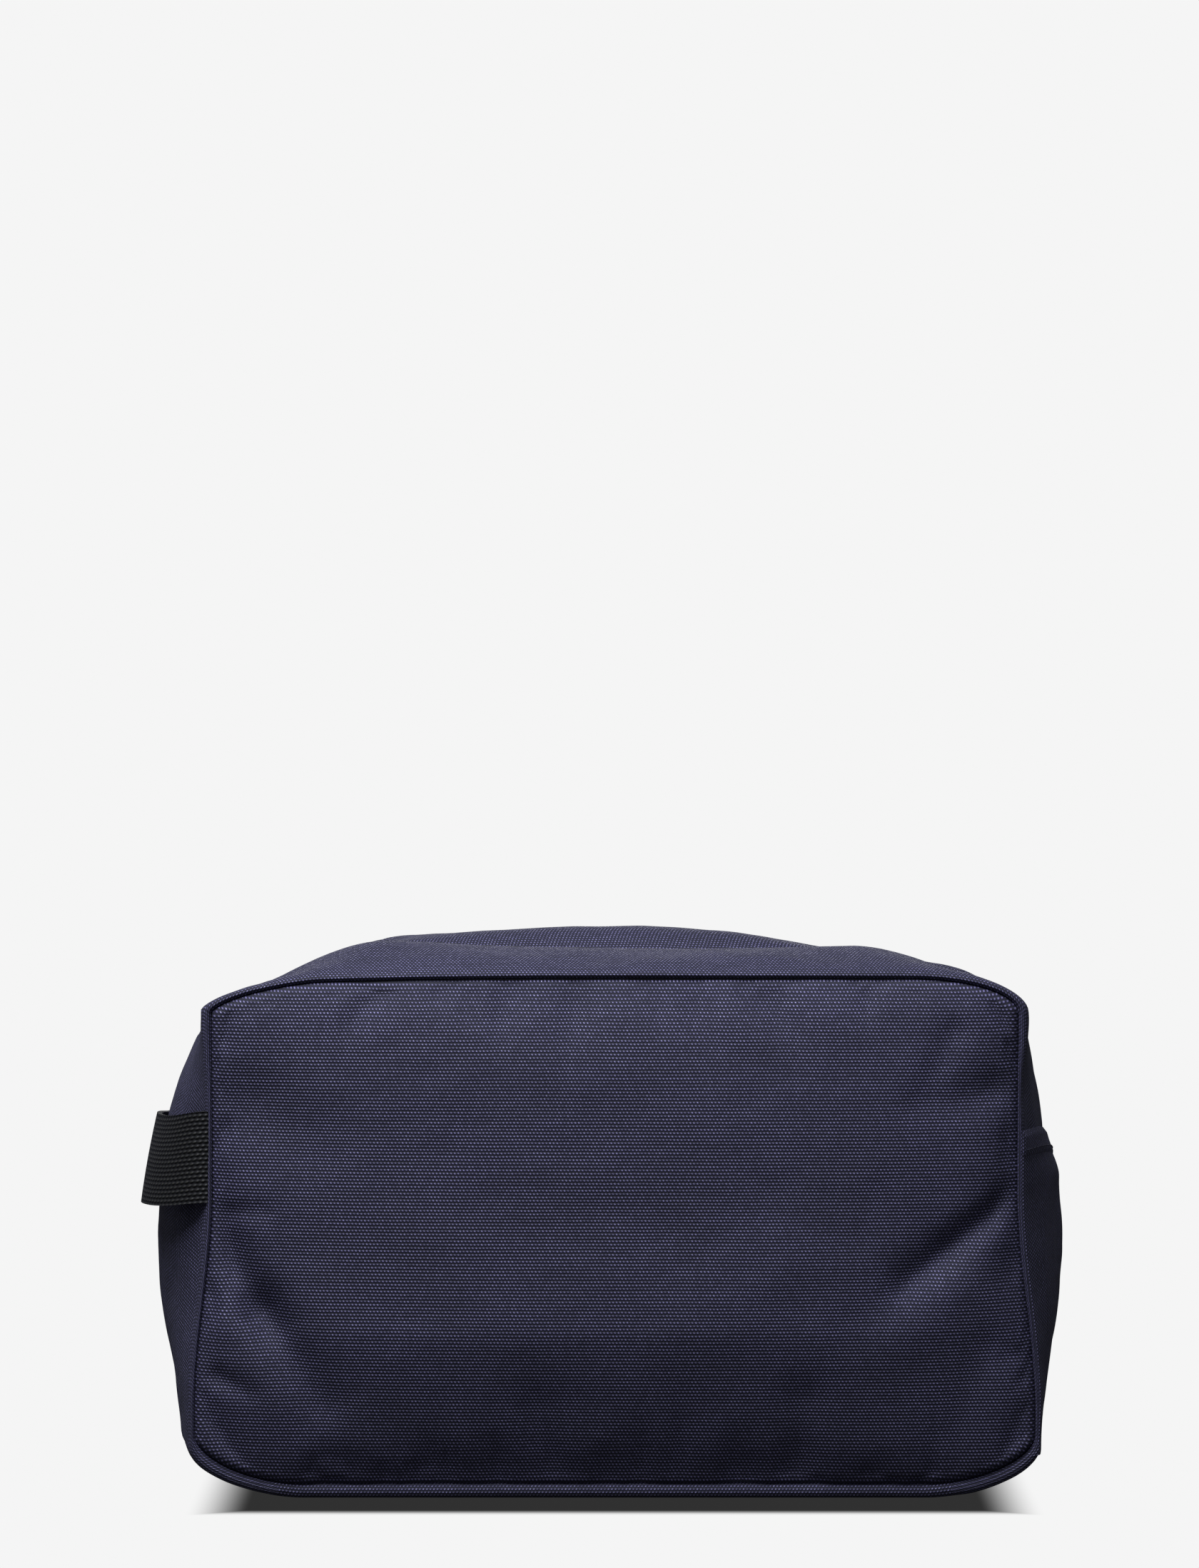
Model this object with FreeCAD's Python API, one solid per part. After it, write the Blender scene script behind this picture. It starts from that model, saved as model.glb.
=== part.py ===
import FreeCAD, Part
import math
import os
from FreeCAD import Vector

# A soft wash bag for shaving things. Two crowned panels, front and rear, are sewn to a strip of
# cloth that runs round them: up both ends, under the bottom and over the top, where a zip lies in
# the valley between two top bands. The left end has a webbing grab handle and the right end a
# slip pocket.
#
# Frame, in millimetres: the origin is the middle of the base where it rests, +Z is up, the front
# panel faces -Y and the handle is at -X.

# ---- driving dimensions -------------------------------------------------------------------
SEAM_Y = 60.0           # the front and rear seams lie in the planes y = -60 and y = +60
SEAM_TOP_Z = 166.0
SEAM_LOW_Z = 5.0
SEAM_HALF_TOP = 128.5   # half the panel's length at its top corners
SEAM_HALF_LOW = 134.3   # the panel is a little longer at the bottom
SEAM_HALF_MID = 129.8
MID_Z = 88.0            # height at which the ends bulge most
LOW_CORNER_R = 18.0
BASE_Z = -0.3           # the underside would sag this far below the surface it is pressed flat on

CLOTH = 0.8             # outer canvas
PADDING = 2.5           # foam sheet in the front, the rear and the bottom
LINING = 0.4
PANEL_CROWN = 8.0       # how far each panel swells past its seam
LEFT_BULGE = 20.0
RIGHT_BULGE = 10.5
TOP_SHARE = 0.25        # share of an end's bulge that is left at its top and bottom corners
LOW_SHARE = 0.3
POCKET_SWELL = 7.5      # how far the side pocket stands off the end behind it
POCKET_TOP_SHARE = 0.8
POCKET_TOP_Z = 118.0
POCKET_LOW_Z = 20.5

ZIP_Z = 162.0           # underside of the zip tapes
TAPE = 0.6
TAPE_OUTER_Y = 16.0
CHAIN_GAP = 0.7         # half the gap that the slider's neck runs in
COIL_WIDTH = 2.9
COIL_HEIGHT = 2.0
BAND_EDGE_Y = 6.5       # free edge of a top band beside the zip
VALLEY_Z = ZIP_Z + TAPE + CLOTH
ZIP_LEFT_X = -108.0
ZIP_RIGHT_X = 108.0

SLIDER_LENGTH = 10.0
SLIDER_PLATE = 1.1
SLIDER_CLOSED_X = -80.0
SLIDER_OPEN_X = 100.0
FLAP_LEFT_X = SLIDER_CLOSED_X + SLIDER_LENGTH / 2 + 0.6     # the bands swing between these
FLAP_RIGHT_X = SLIDER_OPEN_X - SLIDER_LENGTH / 2 - 0.8
FLAP_GAP = 0.4
BOTTOM_CUT_X = 110.0    # where the bottom strip meets the two end strips
HINGE_GAP = 1.0         # cloth left out beside the seam that a band folds on

WEBBING_WIDTH = 30.0
WEBBING = 1.8
HANDLE_LOW_Z = 95.0
HANDLE_OUT_X = -158.6

INNER_POCKET_HALF = 105.0   # the slip pocket on the rear lining
INNER_POCKET_LOW_Z = 9.4
INNER_POCKET_TOP_Z = 92.0
ELASTIC_WIDTH = 8.0
LABEL_X = (-104.0, -74.0)
LABEL_Z = (112.0, 152.0)

SEAM_ALLOWANCE = 4.1    # padding and linings stop this far inside the seam
UNDER_FOAM_Y = 55.0     # half the width of the bottom's foam and lining

LIMIT = 300.0               # half the side of a box larger than the bag
WHOLE = (-LIMIT, LIMIT)
TOP_CUT = (140.0, 200.0)    # heights of the boxes that open the top for the zip
BAND_CUT = (120.0, 200.0)   # heights between which the top bands are cut from the strip
BASE_CUT = (-1.0, 60.0)
LOW_CUT = (-1.0, 100.0)

# Section through the strip of cloth, from the seam to the middle of the bag: distance from the
# middle, base height, top height, half length at the top corner, top corner radius, and share
# of the full bulge.
STATIONS = [
    (60.0, SEAM_LOW_Z, SEAM_TOP_Z, SEAM_HALF_TOP, 14.0, 0.00),
    (54.0, 2.0, 170.2, 129.3, 22.0, 0.22),
    (44.0, BASE_Z, 173.0, 131.0, 34.0, 0.52),
    (32.0, BASE_Z, 174.5, 133.0, 42.0, 0.78),
    (22.0, BASE_Z, 170.0, 135.0, 36.0, 0.92),
    (14.0, BASE_Z, VALLEY_Z, 136.5, 28.0, 0.97),
    (0.0, BASE_Z, VALLEY_Z, 137.0, 28.0, 1.00),
]


# ---- helpers ------------------------------------------------------------------------------
def box(x, y, z):
    """A box from three (low, high) pairs."""
    size = [pair[1] - pair[0] for pair in (x, y, z)]
    return Part.makeBox(size[0], size[1], size[2], Vector(x[0], y[0], z[0]))


def mirrored(shape):
    """The same piece on the other side of the plane y = 0."""
    return shape.mirror(Vector(0, 0, 0), Vector(0, 1, 0))


def solids_of(shape):
    """The shape's solids as one shape, each turned the right way out."""
    found = [solid for solid in shape.Solids if solid.Volume > 0.01]
    return found[0] if len(found) == 1 else Part.Compound(found)


def keep(shape, x=WHOLE, y=WHOLE, z=WHOLE):
    """The part of a shape inside a box."""
    return solids_of(shape.common(box(x, y, z)))


def outline(y, station, inset, pocket_swell=0.0):
    """The strip's closed outline at one distance from the middle, drawn in by inset."""
    low, top, half_top, top_r, share = station[1:]
    z0, z1 = low + inset, top - inset
    r1 = top_r - inset
    r0 = LOW_CORNER_R - inset
    diagonal = math.sqrt(0.5)

    def end_curves(side, bulge, swell):
        half1 = half_top + (TOP_SHARE * bulge + POCKET_TOP_SHARE * swell) * share - inset
        half0 = SEAM_HALF_LOW + LOW_SHARE * bulge * share - inset
        mid = SEAM_HALF_MID + (bulge + swell) * share - inset
        top_start = Vector(side * (half1 - r1), y, z1)
        top_mid = Vector(side * (half1 - r1 + r1 * diagonal), y, z1 - r1 + r1 * diagonal)
        top_end = Vector(side * half1, y, z1 - r1)
        side_mid = Vector(side * mid, y, MID_Z)
        low_start = Vector(side * half0, y, z0 + r0)
        low_mid = Vector(side * (half0 - r0 + r0 * diagonal), y, z0 + r0 - r0 * diagonal)
        low_end = Vector(side * (half0 - r0), y, z0)
        return [
            (top_start, top_mid, top_end),
            (top_end, side_mid, low_start),
            (low_start, low_mid, low_end),
        ]

    right = end_curves(1, RIGHT_BULGE, pocket_swell)
    left = end_curves(-1, LEFT_BULGE, 0.0)
    edges = [Part.Arc(*points).toShape() for points in right]
    edges.append(Part.LineSegment(right[-1][2], left[-1][2]).toShape())
    edges += [Part.Arc(c, b, a).toShape() for a, b, c in reversed(left)]
    edges.append(Part.LineSegment(left[0][0], right[0][0]).toShape())
    return Part.Wire(edges)


def tube(inset, pocket_swell=0.0):
    """Everything inside the strip of cloth, drawn in by inset, as one solid."""
    front = [(-station[0], station) for station in STATIONS]
    rear = [(station[0], station) for station in reversed(STATIONS[:-1])]
    wires = [outline(y, station, inset, pocket_swell) for y, station in front + rear]
    return Part.makeLoft(wires, True, True)


def crowned_face(start):
    """The front panel's swollen surface, start millimetres in from its outer face."""
    columns, rows = 25, 17
    margin = 1.5
    half = SEAM_HALF_LOW + margin
    low, top = SEAM_LOW_Z - margin, SEAM_TOP_Z + margin
    grid = []
    for i in range(columns):
        u = -1 + 2 * i / (columns - 1)
        line = []
        for j in range(rows):
            v = -1 + 2 * j / (rows - 1)
            crown = PANEL_CROWN * (1 - u * u) * (1 - v * v)
            height = (low + top) / 2 + v * (top - low) / 2
            line.append(Vector(u * half, -SEAM_Y - CLOTH + start - crown, height))
        grid.append(line)
    surface = Part.BSplineSurface()
    surface.interpolate(grid)
    return surface.toShape()


def panel_layer(start, thickness, inset):
    """One layer of the front panel: its outer face, its thickness and how far in it is cut."""
    slab = crowned_face(start).extrude(Vector(0, thickness, 0))
    reach = 40.0
    seam = outline(-SEAM_Y - reach, STATIONS[0], inset)
    prism = Part.Face(seam).extrude(Vector(0, 2 * reach, 0))
    return solids_of(slab.common(prism))


# ---- soft shell ---------------------------------------------------------------------------
def outer_cloth():
    """The front and rear panels, the bottom strip, the two end strips and the two top bands."""
    ring = tube(0).cut(tube(CLOTH))
    notch_left = box((ZIP_LEFT_X, 0), (-BAND_EDGE_Y, BAND_EDGE_Y), TOP_CUT)
    notch_right = box((0, ZIP_RIGHT_X), (-BAND_EDGE_Y, BAND_EDGE_Y), TOP_CUT)
    low_middle = box((-BOTTOM_CUT_X, BOTTOM_CUT_X), WHOLE, LOW_CUT)
    standing = (0, LIMIT)
    left_end = keep(ring, x=(-LIMIT, FLAP_LEFT_X - FLAP_GAP), z=standing)
    left_end = left_end.cut(notch_left).cut(low_middle)
    right_end = keep(ring, x=(FLAP_RIGHT_X + FLAP_GAP, LIMIT), z=standing)
    right_end = right_end.cut(notch_right).cut(low_middle)
    bottom = keep(ring, x=(-BOTTOM_CUT_X, BOTTOM_CUT_X), z=(0, BASE_CUT[1]))
    band = keep(
        ring,
        x=(FLAP_LEFT_X, FLAP_RIGHT_X),
        y=(-SEAM_Y + HINGE_GAP, -BAND_EDGE_Y),
        z=BAND_CUT,
    )
    panel = panel_layer(0, CLOTH, 0)
    return {
        "front_panel": panel,
        "rear_panel": mirrored(panel),
        "bottom_gusset": bottom,
        "left_end_gusset": left_end,
        "right_end_gusset": right_end,
        "top_band_front": band,
        "top_band_rear": mirrored(band),
    }


def padding():
    """Foam sheets behind the cloth of the two panels and of the bottom."""
    sheet = panel_layer(CLOTH, PADDING, SEAM_ALLOWANCE)
    ring = tube(CLOTH).cut(tube(CLOTH + PADDING))
    bottom = keep(
        ring, x=(-BOTTOM_CUT_X, BOTTOM_CUT_X), y=(-UNDER_FOAM_Y, UNDER_FOAM_Y), z=BASE_CUT,
    )
    return {
        "front_padding": sheet,
        "rear_padding": mirrored(sheet),
        "bottom_padding": bottom,
    }


def linings():
    """The lining of each wall, and of the two top bands."""
    behind_foam = CLOTH + PADDING
    sheet = panel_layer(behind_foam, LINING, SEAM_ALLOWANCE)
    deep_ring = tube(behind_foam).cut(tube(behind_foam + LINING))
    ring = tube(CLOTH).cut(tube(CLOTH + LINING))
    slot_y = TAPE_OUTER_Y + 0.5
    zip_slot = box((ZIP_LEFT_X, ZIP_RIGHT_X), (-slot_y, slot_y), TOP_CUT)
    low_middle = box((-BOTTOM_CUT_X, BOTTOM_CUT_X), WHOLE, LOW_CUT)
    left = keep(ring, x=(-LIMIT, FLAP_LEFT_X - FLAP_GAP)).cut(zip_slot).cut(low_middle)
    right = keep(ring, x=(FLAP_RIGHT_X + FLAP_GAP, LIMIT)).cut(zip_slot).cut(low_middle)
    bottom = keep(
        deep_ring, x=(-BOTTOM_CUT_X, BOTTOM_CUT_X), y=(-UNDER_FOAM_Y, UNDER_FOAM_Y), z=BASE_CUT,
    )
    band = keep(
        ring,
        x=(FLAP_LEFT_X, FLAP_RIGHT_X),
        y=(-SEAM_Y + HINGE_GAP, -slot_y),
        z=BAND_CUT,
    )
    return {
        "lining_front": sheet,
        "lining_rear": mirrored(sheet),
        "lining_bottom": bottom,
        "lining_left": solids_of(left),
        "lining_right": solids_of(right),
        "top_lining_front": band,
        "top_lining_rear": mirrored(band),
    }


def seam_bindings():
    """Tape bound over the raw edges of the front and rear seams, inside the bag."""
    width, outer_inset, inner_inset = 4.7, 1.4, 4.0
    outer = Part.Face(outline(-SEAM_Y, STATIONS[0], outer_inset))
    inner = Part.Face(outline(-SEAM_Y, STATIONS[0], inner_inset))
    ring = outer.cut(inner).extrude(Vector(0, width, 0))
    front = solids_of(ring)
    return {"front_seam_binding": front, "rear_seam_binding": mirrored(front)}


def inner_pocket():
    """A flat mesh pocket on the rear lining, its elastic edge, and the sewn-in care label."""
    mesh, elastic, paper = 0.4, 0.8, 0.3
    inside = CLOTH + PADDING + LINING
    net = mirrored(panel_layer(inside, mesh, SEAM_ALLOWANCE))
    edge = mirrored(panel_layer(inside + mesh, elastic, SEAM_ALLOWANCE))
    label = panel_layer(inside, paper, SEAM_ALLOWANCE)
    across = (-INNER_POCKET_HALF, INNER_POCKET_HALF)
    edge_z = (INNER_POCKET_TOP_Z - ELASTIC_WIDTH, INNER_POCKET_TOP_Z)
    return {
        "inner_pocket": keep(net, x=across, z=(INNER_POCKET_LOW_Z, INNER_POCKET_TOP_Z)),
        "inner_pocket_elastic": keep(edge, x=across, z=edge_z),
        "care_label": keep(label, x=LABEL_X, z=LABEL_Z),
    }


def side_pocket():
    """The slip pocket on the right end, open at its top edge."""
    sheet = tube(-CLOTH, POCKET_SWELL).cut(tube(0, POCKET_SWELL))
    return {"side_pocket": keep(sheet, x=(100, LIMIT), z=(POCKET_LOW_Z, POCKET_TOP_Z))}


def handle():
    """The webbing grab handle across the left end, sewn into both seams."""
    seam_x, turn_x, shoulder_x = -129.5, -145.5, HANDLE_OUT_X + 3.1
    turn_y, shoulder_y = -53.0, -38.0

    def path(inset):
        start = Vector(seam_x, -SEAM_Y + inset, HANDLE_LOW_Z)
        turn = Vector(turn_x + 0.6 * inset, turn_y + 0.9 * inset, HANDLE_LOW_Z)
        shoulder = Vector(shoulder_x + inset, shoulder_y + 0.2 * inset, HANDLE_LOW_Z)
        middle = Vector(HANDLE_OUT_X + inset, 0, HANDLE_LOW_Z)

        def across(point):
            return Vector(point.x, -point.y, point.z)

        return [
            Part.Arc(start, turn, shoulder).toShape(),
            Part.Arc(shoulder, middle, across(shoulder)).toShape(),
            Part.Arc(across(shoulder), across(turn), across(start)).toShape(),
        ]

    outer = path(0)
    inner = path(WEBBING)
    front = Part.LineSegment(outer[0].Vertexes[0].Point, inner[0].Vertexes[0].Point).toShape()
    rear = Part.LineSegment(outer[2].Vertexes[1].Point, inner[2].Vertexes[1].Point).toShape()
    section = Part.Face(Part.Wire(Part.__sortEdges__([*outer, rear, *inner, front])))
    strap = section.extrude(Vector(0, 0, WEBBING_WIDTH)).cut(tube(0))
    return {"handle_webbing": solids_of(strap)}


# ---- zip ----------------------------------------------------------------------------------
def zip_chain():
    """The two tapes and coils: the stretches that swing with the bands and the fixed ends."""
    tape_y = (-TAPE_OUTER_Y, -CHAIN_GAP)
    coil_y = (-CHAIN_GAP - COIL_WIDTH, -CHAIN_GAP)
    tape_z = (ZIP_Z, ZIP_Z + TAPE)
    coil_z = (ZIP_Z + TAPE, ZIP_Z + TAPE + COIL_HEIGHT)
    moving = (FLAP_LEFT_X, FLAP_RIGHT_X)
    left = (ZIP_LEFT_X, FLAP_LEFT_X - FLAP_GAP)
    right = (FLAP_RIGHT_X + FLAP_GAP, ZIP_RIGHT_X)
    past_slider = SLIDER_LENGTH / 2 + 0.5
    coil_left = (SLIDER_CLOSED_X - past_slider, FLAP_LEFT_X - FLAP_GAP)
    coil_right = (FLAP_RIGHT_X + FLAP_GAP, SLIDER_OPEN_X + past_slider)
    tape = box(moving, tape_y, tape_z)
    coil = box(moving, coil_y, coil_z)
    tape_ends = [box(x, tape_y, tape_z) for x in (left, right)]
    coil_ends = [box(x, coil_y, coil_z) for x in (coil_left, coil_right)]
    return {
        "zip_tape_front": tape,
        "zip_tape_rear": mirrored(tape),
        "zip_coil_front": coil,
        "zip_coil_rear": mirrored(coil),
        "zip_tape_ends": Part.Compound(tape_ends + [mirrored(s) for s in tape_ends]),
        "zip_coil_ends": Part.Compound(coil_ends + [mirrored(s) for s in coil_ends]),
    }


def zip_ends():
    """The stops that end the slider's travel, and the cloth tab over the left end of the zip."""
    low, high = ZIP_Z + TAPE, ZIP_Z + TAPE + COIL_HEIGHT + 0.3
    stop, stop_half, tab_thickness = 1.6, 4.0, 1.2
    closed = SLIDER_CLOSED_X - SLIDER_LENGTH / 2 - 0.6
    opened = SLIDER_OPEN_X + SLIDER_LENGTH / 2 + 0.6
    top_stop = box((closed - stop, closed), (-stop_half, -CHAIN_GAP), (low, high))
    bottom_stop = box((opened, opened + stop), (-stop_half, stop_half), (low, high))
    tab_half = BAND_EDGE_Y - 0.3
    tab = box((ZIP_LEFT_X, closed - stop - 1.5), (-tab_half, tab_half), (low, low + tab_thickness))
    return {
        "zip_top_stops": Part.Compound([top_stop, mirrored(top_stop)]),
        "zip_bottom_stop": bottom_stop,
        "zip_end_tab": tab.makeFillet(0.4, [e for e in tab.Edges if e.Length > 15]),
    }


def slider_plate(z, thickness, half_width):
    """One plate of the slider: wide at the mouth, narrower where the closed chain leaves."""
    front, back = SLIDER_LENGTH / 2, -SLIDER_LENGTH / 2
    points = [
        Vector(back, -half_width, z),
        Vector(front - 4, -half_width, z),
        Vector(front, -half_width + 1.2, z),
        Vector(front, half_width - 1.2, z),
        Vector(front - 4, half_width, z),
        Vector(back, half_width, z),
    ]
    face = Part.Face(Part.makePolygon(points + points[:1]))
    plate = face.extrude(Vector(0, 0, thickness))
    upright = [e for e in plate.Edges if abs(e.tangentAt(e.FirstParameter).z) > 0.9]
    return plate.makeFillet(0.9, upright)


def slider():
    """The slider: two plates joined by a neck, side flanges round the chain, and its bail."""
    half_width, flange = 4.8, 0.8
    coil_top = ZIP_Z + TAPE + COIL_HEIGHT
    upper_z = coil_top + 0.3
    upper = slider_plate(upper_z, SLIDER_PLATE, half_width)
    lower_top = ZIP_Z - 0.4
    lower = slider_plate(lower_top - SLIDER_PLATE, SLIDER_PLATE, half_width)
    neck = box((-4.6, -1.6), (-0.45, 0.45), (lower_top, upper_z))
    body = upper.fuse([lower, neck])
    for side in (-1, 1):
        y = sorted((side * half_width, side * (half_width - flange)))
        upper_flange = box((-4.0, 1.0), y, (ZIP_Z + TAPE + 0.4, upper_z))
        body = body.fuse(upper_flange)
    top = upper_z + SLIDER_PLATE
    body = body.removeSplitter()
    body = body.makeFillet(0.3, [e for e in body.Edges if e.BoundBox.ZMin > top - 0.01])

    bail_half, bail_height, wire, bail_width = 3.2, 3.2, 1.1, 2.0
    arch = box((-bail_half, bail_half), (-bail_width / 2, bail_width / 2), (top, top + bail_height))
    ends = [
        e for e in arch.Edges
        if e.BoundBox.ZMin > top + bail_height - 0.01 and e.BoundBox.XLength < 0.01
    ]
    arch = arch.makeFillet(1.6, ends)
    hole = box((-bail_half + wire, bail_half - wire), (-2, 2), (top - 1, top + bail_height - wire))
    bail = arch.cut(hole)
    place = Vector(SLIDER_CLOSED_X, 0, 0)
    return {
        "zip_slider": body.translated(place),
        "slider_bail": solids_of(bail).translated(place),
    }


def pull_tab():
    """The puller, lying back over the end tab. Its cross bar turns inside the bail."""
    pivot_z = ZIP_Z + TAPE + COIL_HEIGHT + 0.3 + SLIDER_PLATE + 1.1
    half_width, bar_r, thickness, reach = 3.6, 0.7, 1.2, 20.0
    window = 4.4
    plate = box((-reach, 0), (-half_width, half_width), (-thickness / 2, thickness / 2))
    far_corners = [
        e for e in plate.Edges
        if e.BoundBox.XMax < -reach + 0.01 and e.BoundBox.ZLength > thickness - 0.01
    ]
    plate = plate.makeFillet(2.2, far_corners)
    plate = plate.cut(box((-window, 1), (-1.9, 1.9), (-1, 1)))
    slot = box((-reach + 3.0, -window - 4.0), (-1.2, 1.2), (-1, 1))
    slot = slot.makeFillet(1.1, [e for e in slot.Edges if e.BoundBox.ZLength > 1.9])
    plate = plate.cut(slot)
    bar = Part.makeCylinder(bar_r, 2 * half_width, Vector(0, -half_width, 0), Vector(0, 1, 0))
    tab = plate.fuse(bar).removeSplitter()
    return {"pull_tab": tab.translated(Vector(SLIDER_CLOSED_X, 0, pivot_z))}


# ---- all pieces ---------------------------------------------------------------------------
def main():
    os.makedirs("parts", exist_ok=True)
    makers = (
        outer_cloth, padding, linings, seam_bindings, inner_pocket, side_pocket, handle,
        zip_chain, zip_ends, slider, pull_tab,
    )
    for make in makers:
        for node, shape in make().items():
            shape.exportStep(os.path.join("parts", node + ".step"))
            bounds = shape.optimalBoundingBox(False)
            print(
                f"{node:22s} solids {len(shape.Solids)} valid {shape.isValid()} "
                f"volume {shape.Volume:9.1f} mm3  x {bounds.XMin:.1f} {bounds.XMax:.1f}  "
                f"y {bounds.YMin:.1f} {bounds.YMax:.1f}  z {bounds.ZMin:.1f} {bounds.ZMax:.1f}"
            )


main()
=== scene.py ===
# %% [markdown]
# # A soft wash bag in Blender
# This notebook builds the looks of a zipped wash bag around its engineering model. The bag is a
# sewn thing: a front and a rear panel, and between them a strip of the same canvas that runs
# under the bottom, up both ends and over the top, where it is split by a zip. Everything soft is
# made as the cloth it is; the zip's metal comes from the engineering model unchanged.

import math

import bpy
import numpy as np
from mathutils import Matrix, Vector, noise


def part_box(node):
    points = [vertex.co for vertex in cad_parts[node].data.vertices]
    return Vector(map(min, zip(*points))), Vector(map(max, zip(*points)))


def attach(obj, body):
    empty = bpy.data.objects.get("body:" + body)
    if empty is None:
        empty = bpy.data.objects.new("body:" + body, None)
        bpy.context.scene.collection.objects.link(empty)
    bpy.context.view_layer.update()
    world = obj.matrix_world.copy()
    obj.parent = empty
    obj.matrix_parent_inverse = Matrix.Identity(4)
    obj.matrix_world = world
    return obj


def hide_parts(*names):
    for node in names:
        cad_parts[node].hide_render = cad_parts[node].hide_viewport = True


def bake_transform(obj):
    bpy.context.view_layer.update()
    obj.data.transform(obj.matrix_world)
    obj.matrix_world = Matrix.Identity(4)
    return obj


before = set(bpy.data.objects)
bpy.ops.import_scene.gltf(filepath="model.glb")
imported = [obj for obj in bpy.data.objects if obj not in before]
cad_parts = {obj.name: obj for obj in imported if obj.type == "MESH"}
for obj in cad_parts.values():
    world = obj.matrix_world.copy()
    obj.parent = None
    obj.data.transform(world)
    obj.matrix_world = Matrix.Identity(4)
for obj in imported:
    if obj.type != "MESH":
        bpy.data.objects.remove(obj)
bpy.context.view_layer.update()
MM = 0.001

# %% [markdown]
# ## Places that come from the frame
# The seams, the zip and the moving stretch of the two top bands are read from the model's own
# boxes, so that the cloth meets the joints where the joints are. Lengths in this notebook are in
# millimetres and become metres only when a mesh is made.

# %% Read the driving places
def box_mm(node):
    """A node's lowest and highest corners, in millimetres."""
    return [np.array(corner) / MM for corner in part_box(node)]


strip_high = box_mm("left_end_gusset")[1]
tape_low, tape_high = box_mm("zip_tape_ends")
SEAM_Y = strip_high[1]
ZIP_END_X = tape_high[0]
CLOTH = 0.8
print("seams at y =", round(SEAM_Y, 1), "zip ends at x =", round(ZIP_END_X, 1))

# %% [markdown]
# ## The outline of a panel
# A panel is nearly a rectangle, a little longer at the bottom, with a tight lower corner and a
# long sloping shoulder. A superellipse makes both kinds of corner: its exponent says how square
# or how straight the corner is. The same outline, grown outwards, makes every section of the
# strip, so the strip and the panels meet along one seam.


# %% Outline helpers
def smooth(t):
    """A soft step from 0 to 1."""
    t = np.clip(t, 0, 1)
    return t * t * (3 - 2 * t)


def bell(x, width):
    """A soft bump of height 1."""
    return np.exp(-((x / width) ** 2))


LOW_Z, TOP_Z = 5.0, 166.7
SHOULDER_HALF, FOOT_HALF = 128.3, 134.3
# how many points each stretch of half an outline has
CORNER_POINTS, SIDE_POINTS, FOOT_POINTS, BASE_POINTS = 60, 80, 40, 50
SHOULDER_END = 2 * CORNER_POINTS - 1
FOOT_START = SHOULDER_END + SIDE_POINTS - 1


def seam_half(z):
    """Half the panel's length at a height."""
    return SHOULDER_HALF + (FOOT_HALF - SHOULDER_HALF) * smooth((100 - z) / 72)


def end_bulge(z, end):
    """How far an end swells past its seam at the middle of the bag."""
    amount, low_share = (LEFT_SWELL, 0.22) if end < 0 else (RIGHT_SWELL, -0.05)
    up = smooth((166 - z) / 60)
    down = low_share + (1 - low_share) * smooth((z - 4) / 82)
    return amount * up * down


# %% [markdown]
# ## The strip's section
# Seen from the end, the strip leaves the seam as a small roll, because the cloth is folded over
# its own seam allowance. It then crosses to the rear: swelling at the ends, flat underneath, and
# on top rising to a soft ridge before it drops into the valley that hides the zip. Each row
# below is one line of the weave running round the bag, from the front seam to the middle.

# %% Rows of the strip
# y, roll out of the seam, extra below, extra above, share of the end's swelling,
# shoulder length, shoulder drop, shoulder exponent
ROWS = np.array([
    (55.4, -0.7, 0.0, 0.0, 0.00, 30, 9.5, 2.1),
    (57.6, 0.0, 0.0, 0.0, 0.00, 30, 9.5, 2.1),
    (59.9, 0.5, 0.0, 0.0, 0.00, 30, 9.5, 2.1),
    (61.0, 1.4, 0.8, 0.0, 0.00, 31, 10, 2.1),
    (60.7, 2.3, 1.5, 0.0, 0.01, 32, 10.5, 2.1),
    (59.4, 3.1, 1.8, 0.1, 0.03, 34, 11.5, 2.0),
    (57.0, 3.6, 1.5, 0.7, 0.09, 38, 13, 1.9),
    (52.0, 3.8, 1.3, 2.3, 0.24, 46, 18, 1.7),
    (45.0, 3.8, 1.2, 3.9, 0.44, 56, 24, 1.55),
    (38.0, 3.8, 1.2, 4.9, 0.61, 62, 28, 1.5),
    (31.0, 3.8, 1.2, 4.8, 0.75, 63, 29, 1.5),
    (25.0, 3.8, 1.2, 2.8, 0.84, 60, 28, 1.5),
    (19.0, 3.8, 1.2, -1.7, 0.91, 52, 26, 1.5),
    (13.0, 3.8, 1.2, -5.6, 0.96, 44, 25, 1.5),
    (6.5, 3.8, 1.2, -7.1, 0.99, 42, 24, 1.5),
    (0.0, 3.8, 1.2, -7.1, 1.00, 42, 24, 1.5),
])
SEAM_ROW, EDGE_ROW, MIDDLE_ROW = 1, 14, 15
LEFT_SWELL, RIGHT_SWELL = 18.0, 10.5


def row_at(t):
    """The strip's row at a fractional index, by a Catmull-Rom curve through the rows."""
    i = int(min(max(math.floor(t), 0), len(ROWS) - 2))
    f = t - i
    p0, p1 = ROWS[max(i - 1, 0)], ROWS[i]
    p2 = ROWS[i + 1]
    p3 = ROWS[i + 2] if i + 2 < len(ROWS) else ROWS[i] * np.array([-1, 1, 1, 1, 1, 1, 1, 1])
    return 0.5 * (
        2 * p1 + (p2 - p0) * f + (2 * p0 - 5 * p1 + 4 * p2 - p3) * f**2
        + (3 * p1 - p0 - 3 * p2 + p3) * f**3
    )


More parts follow.
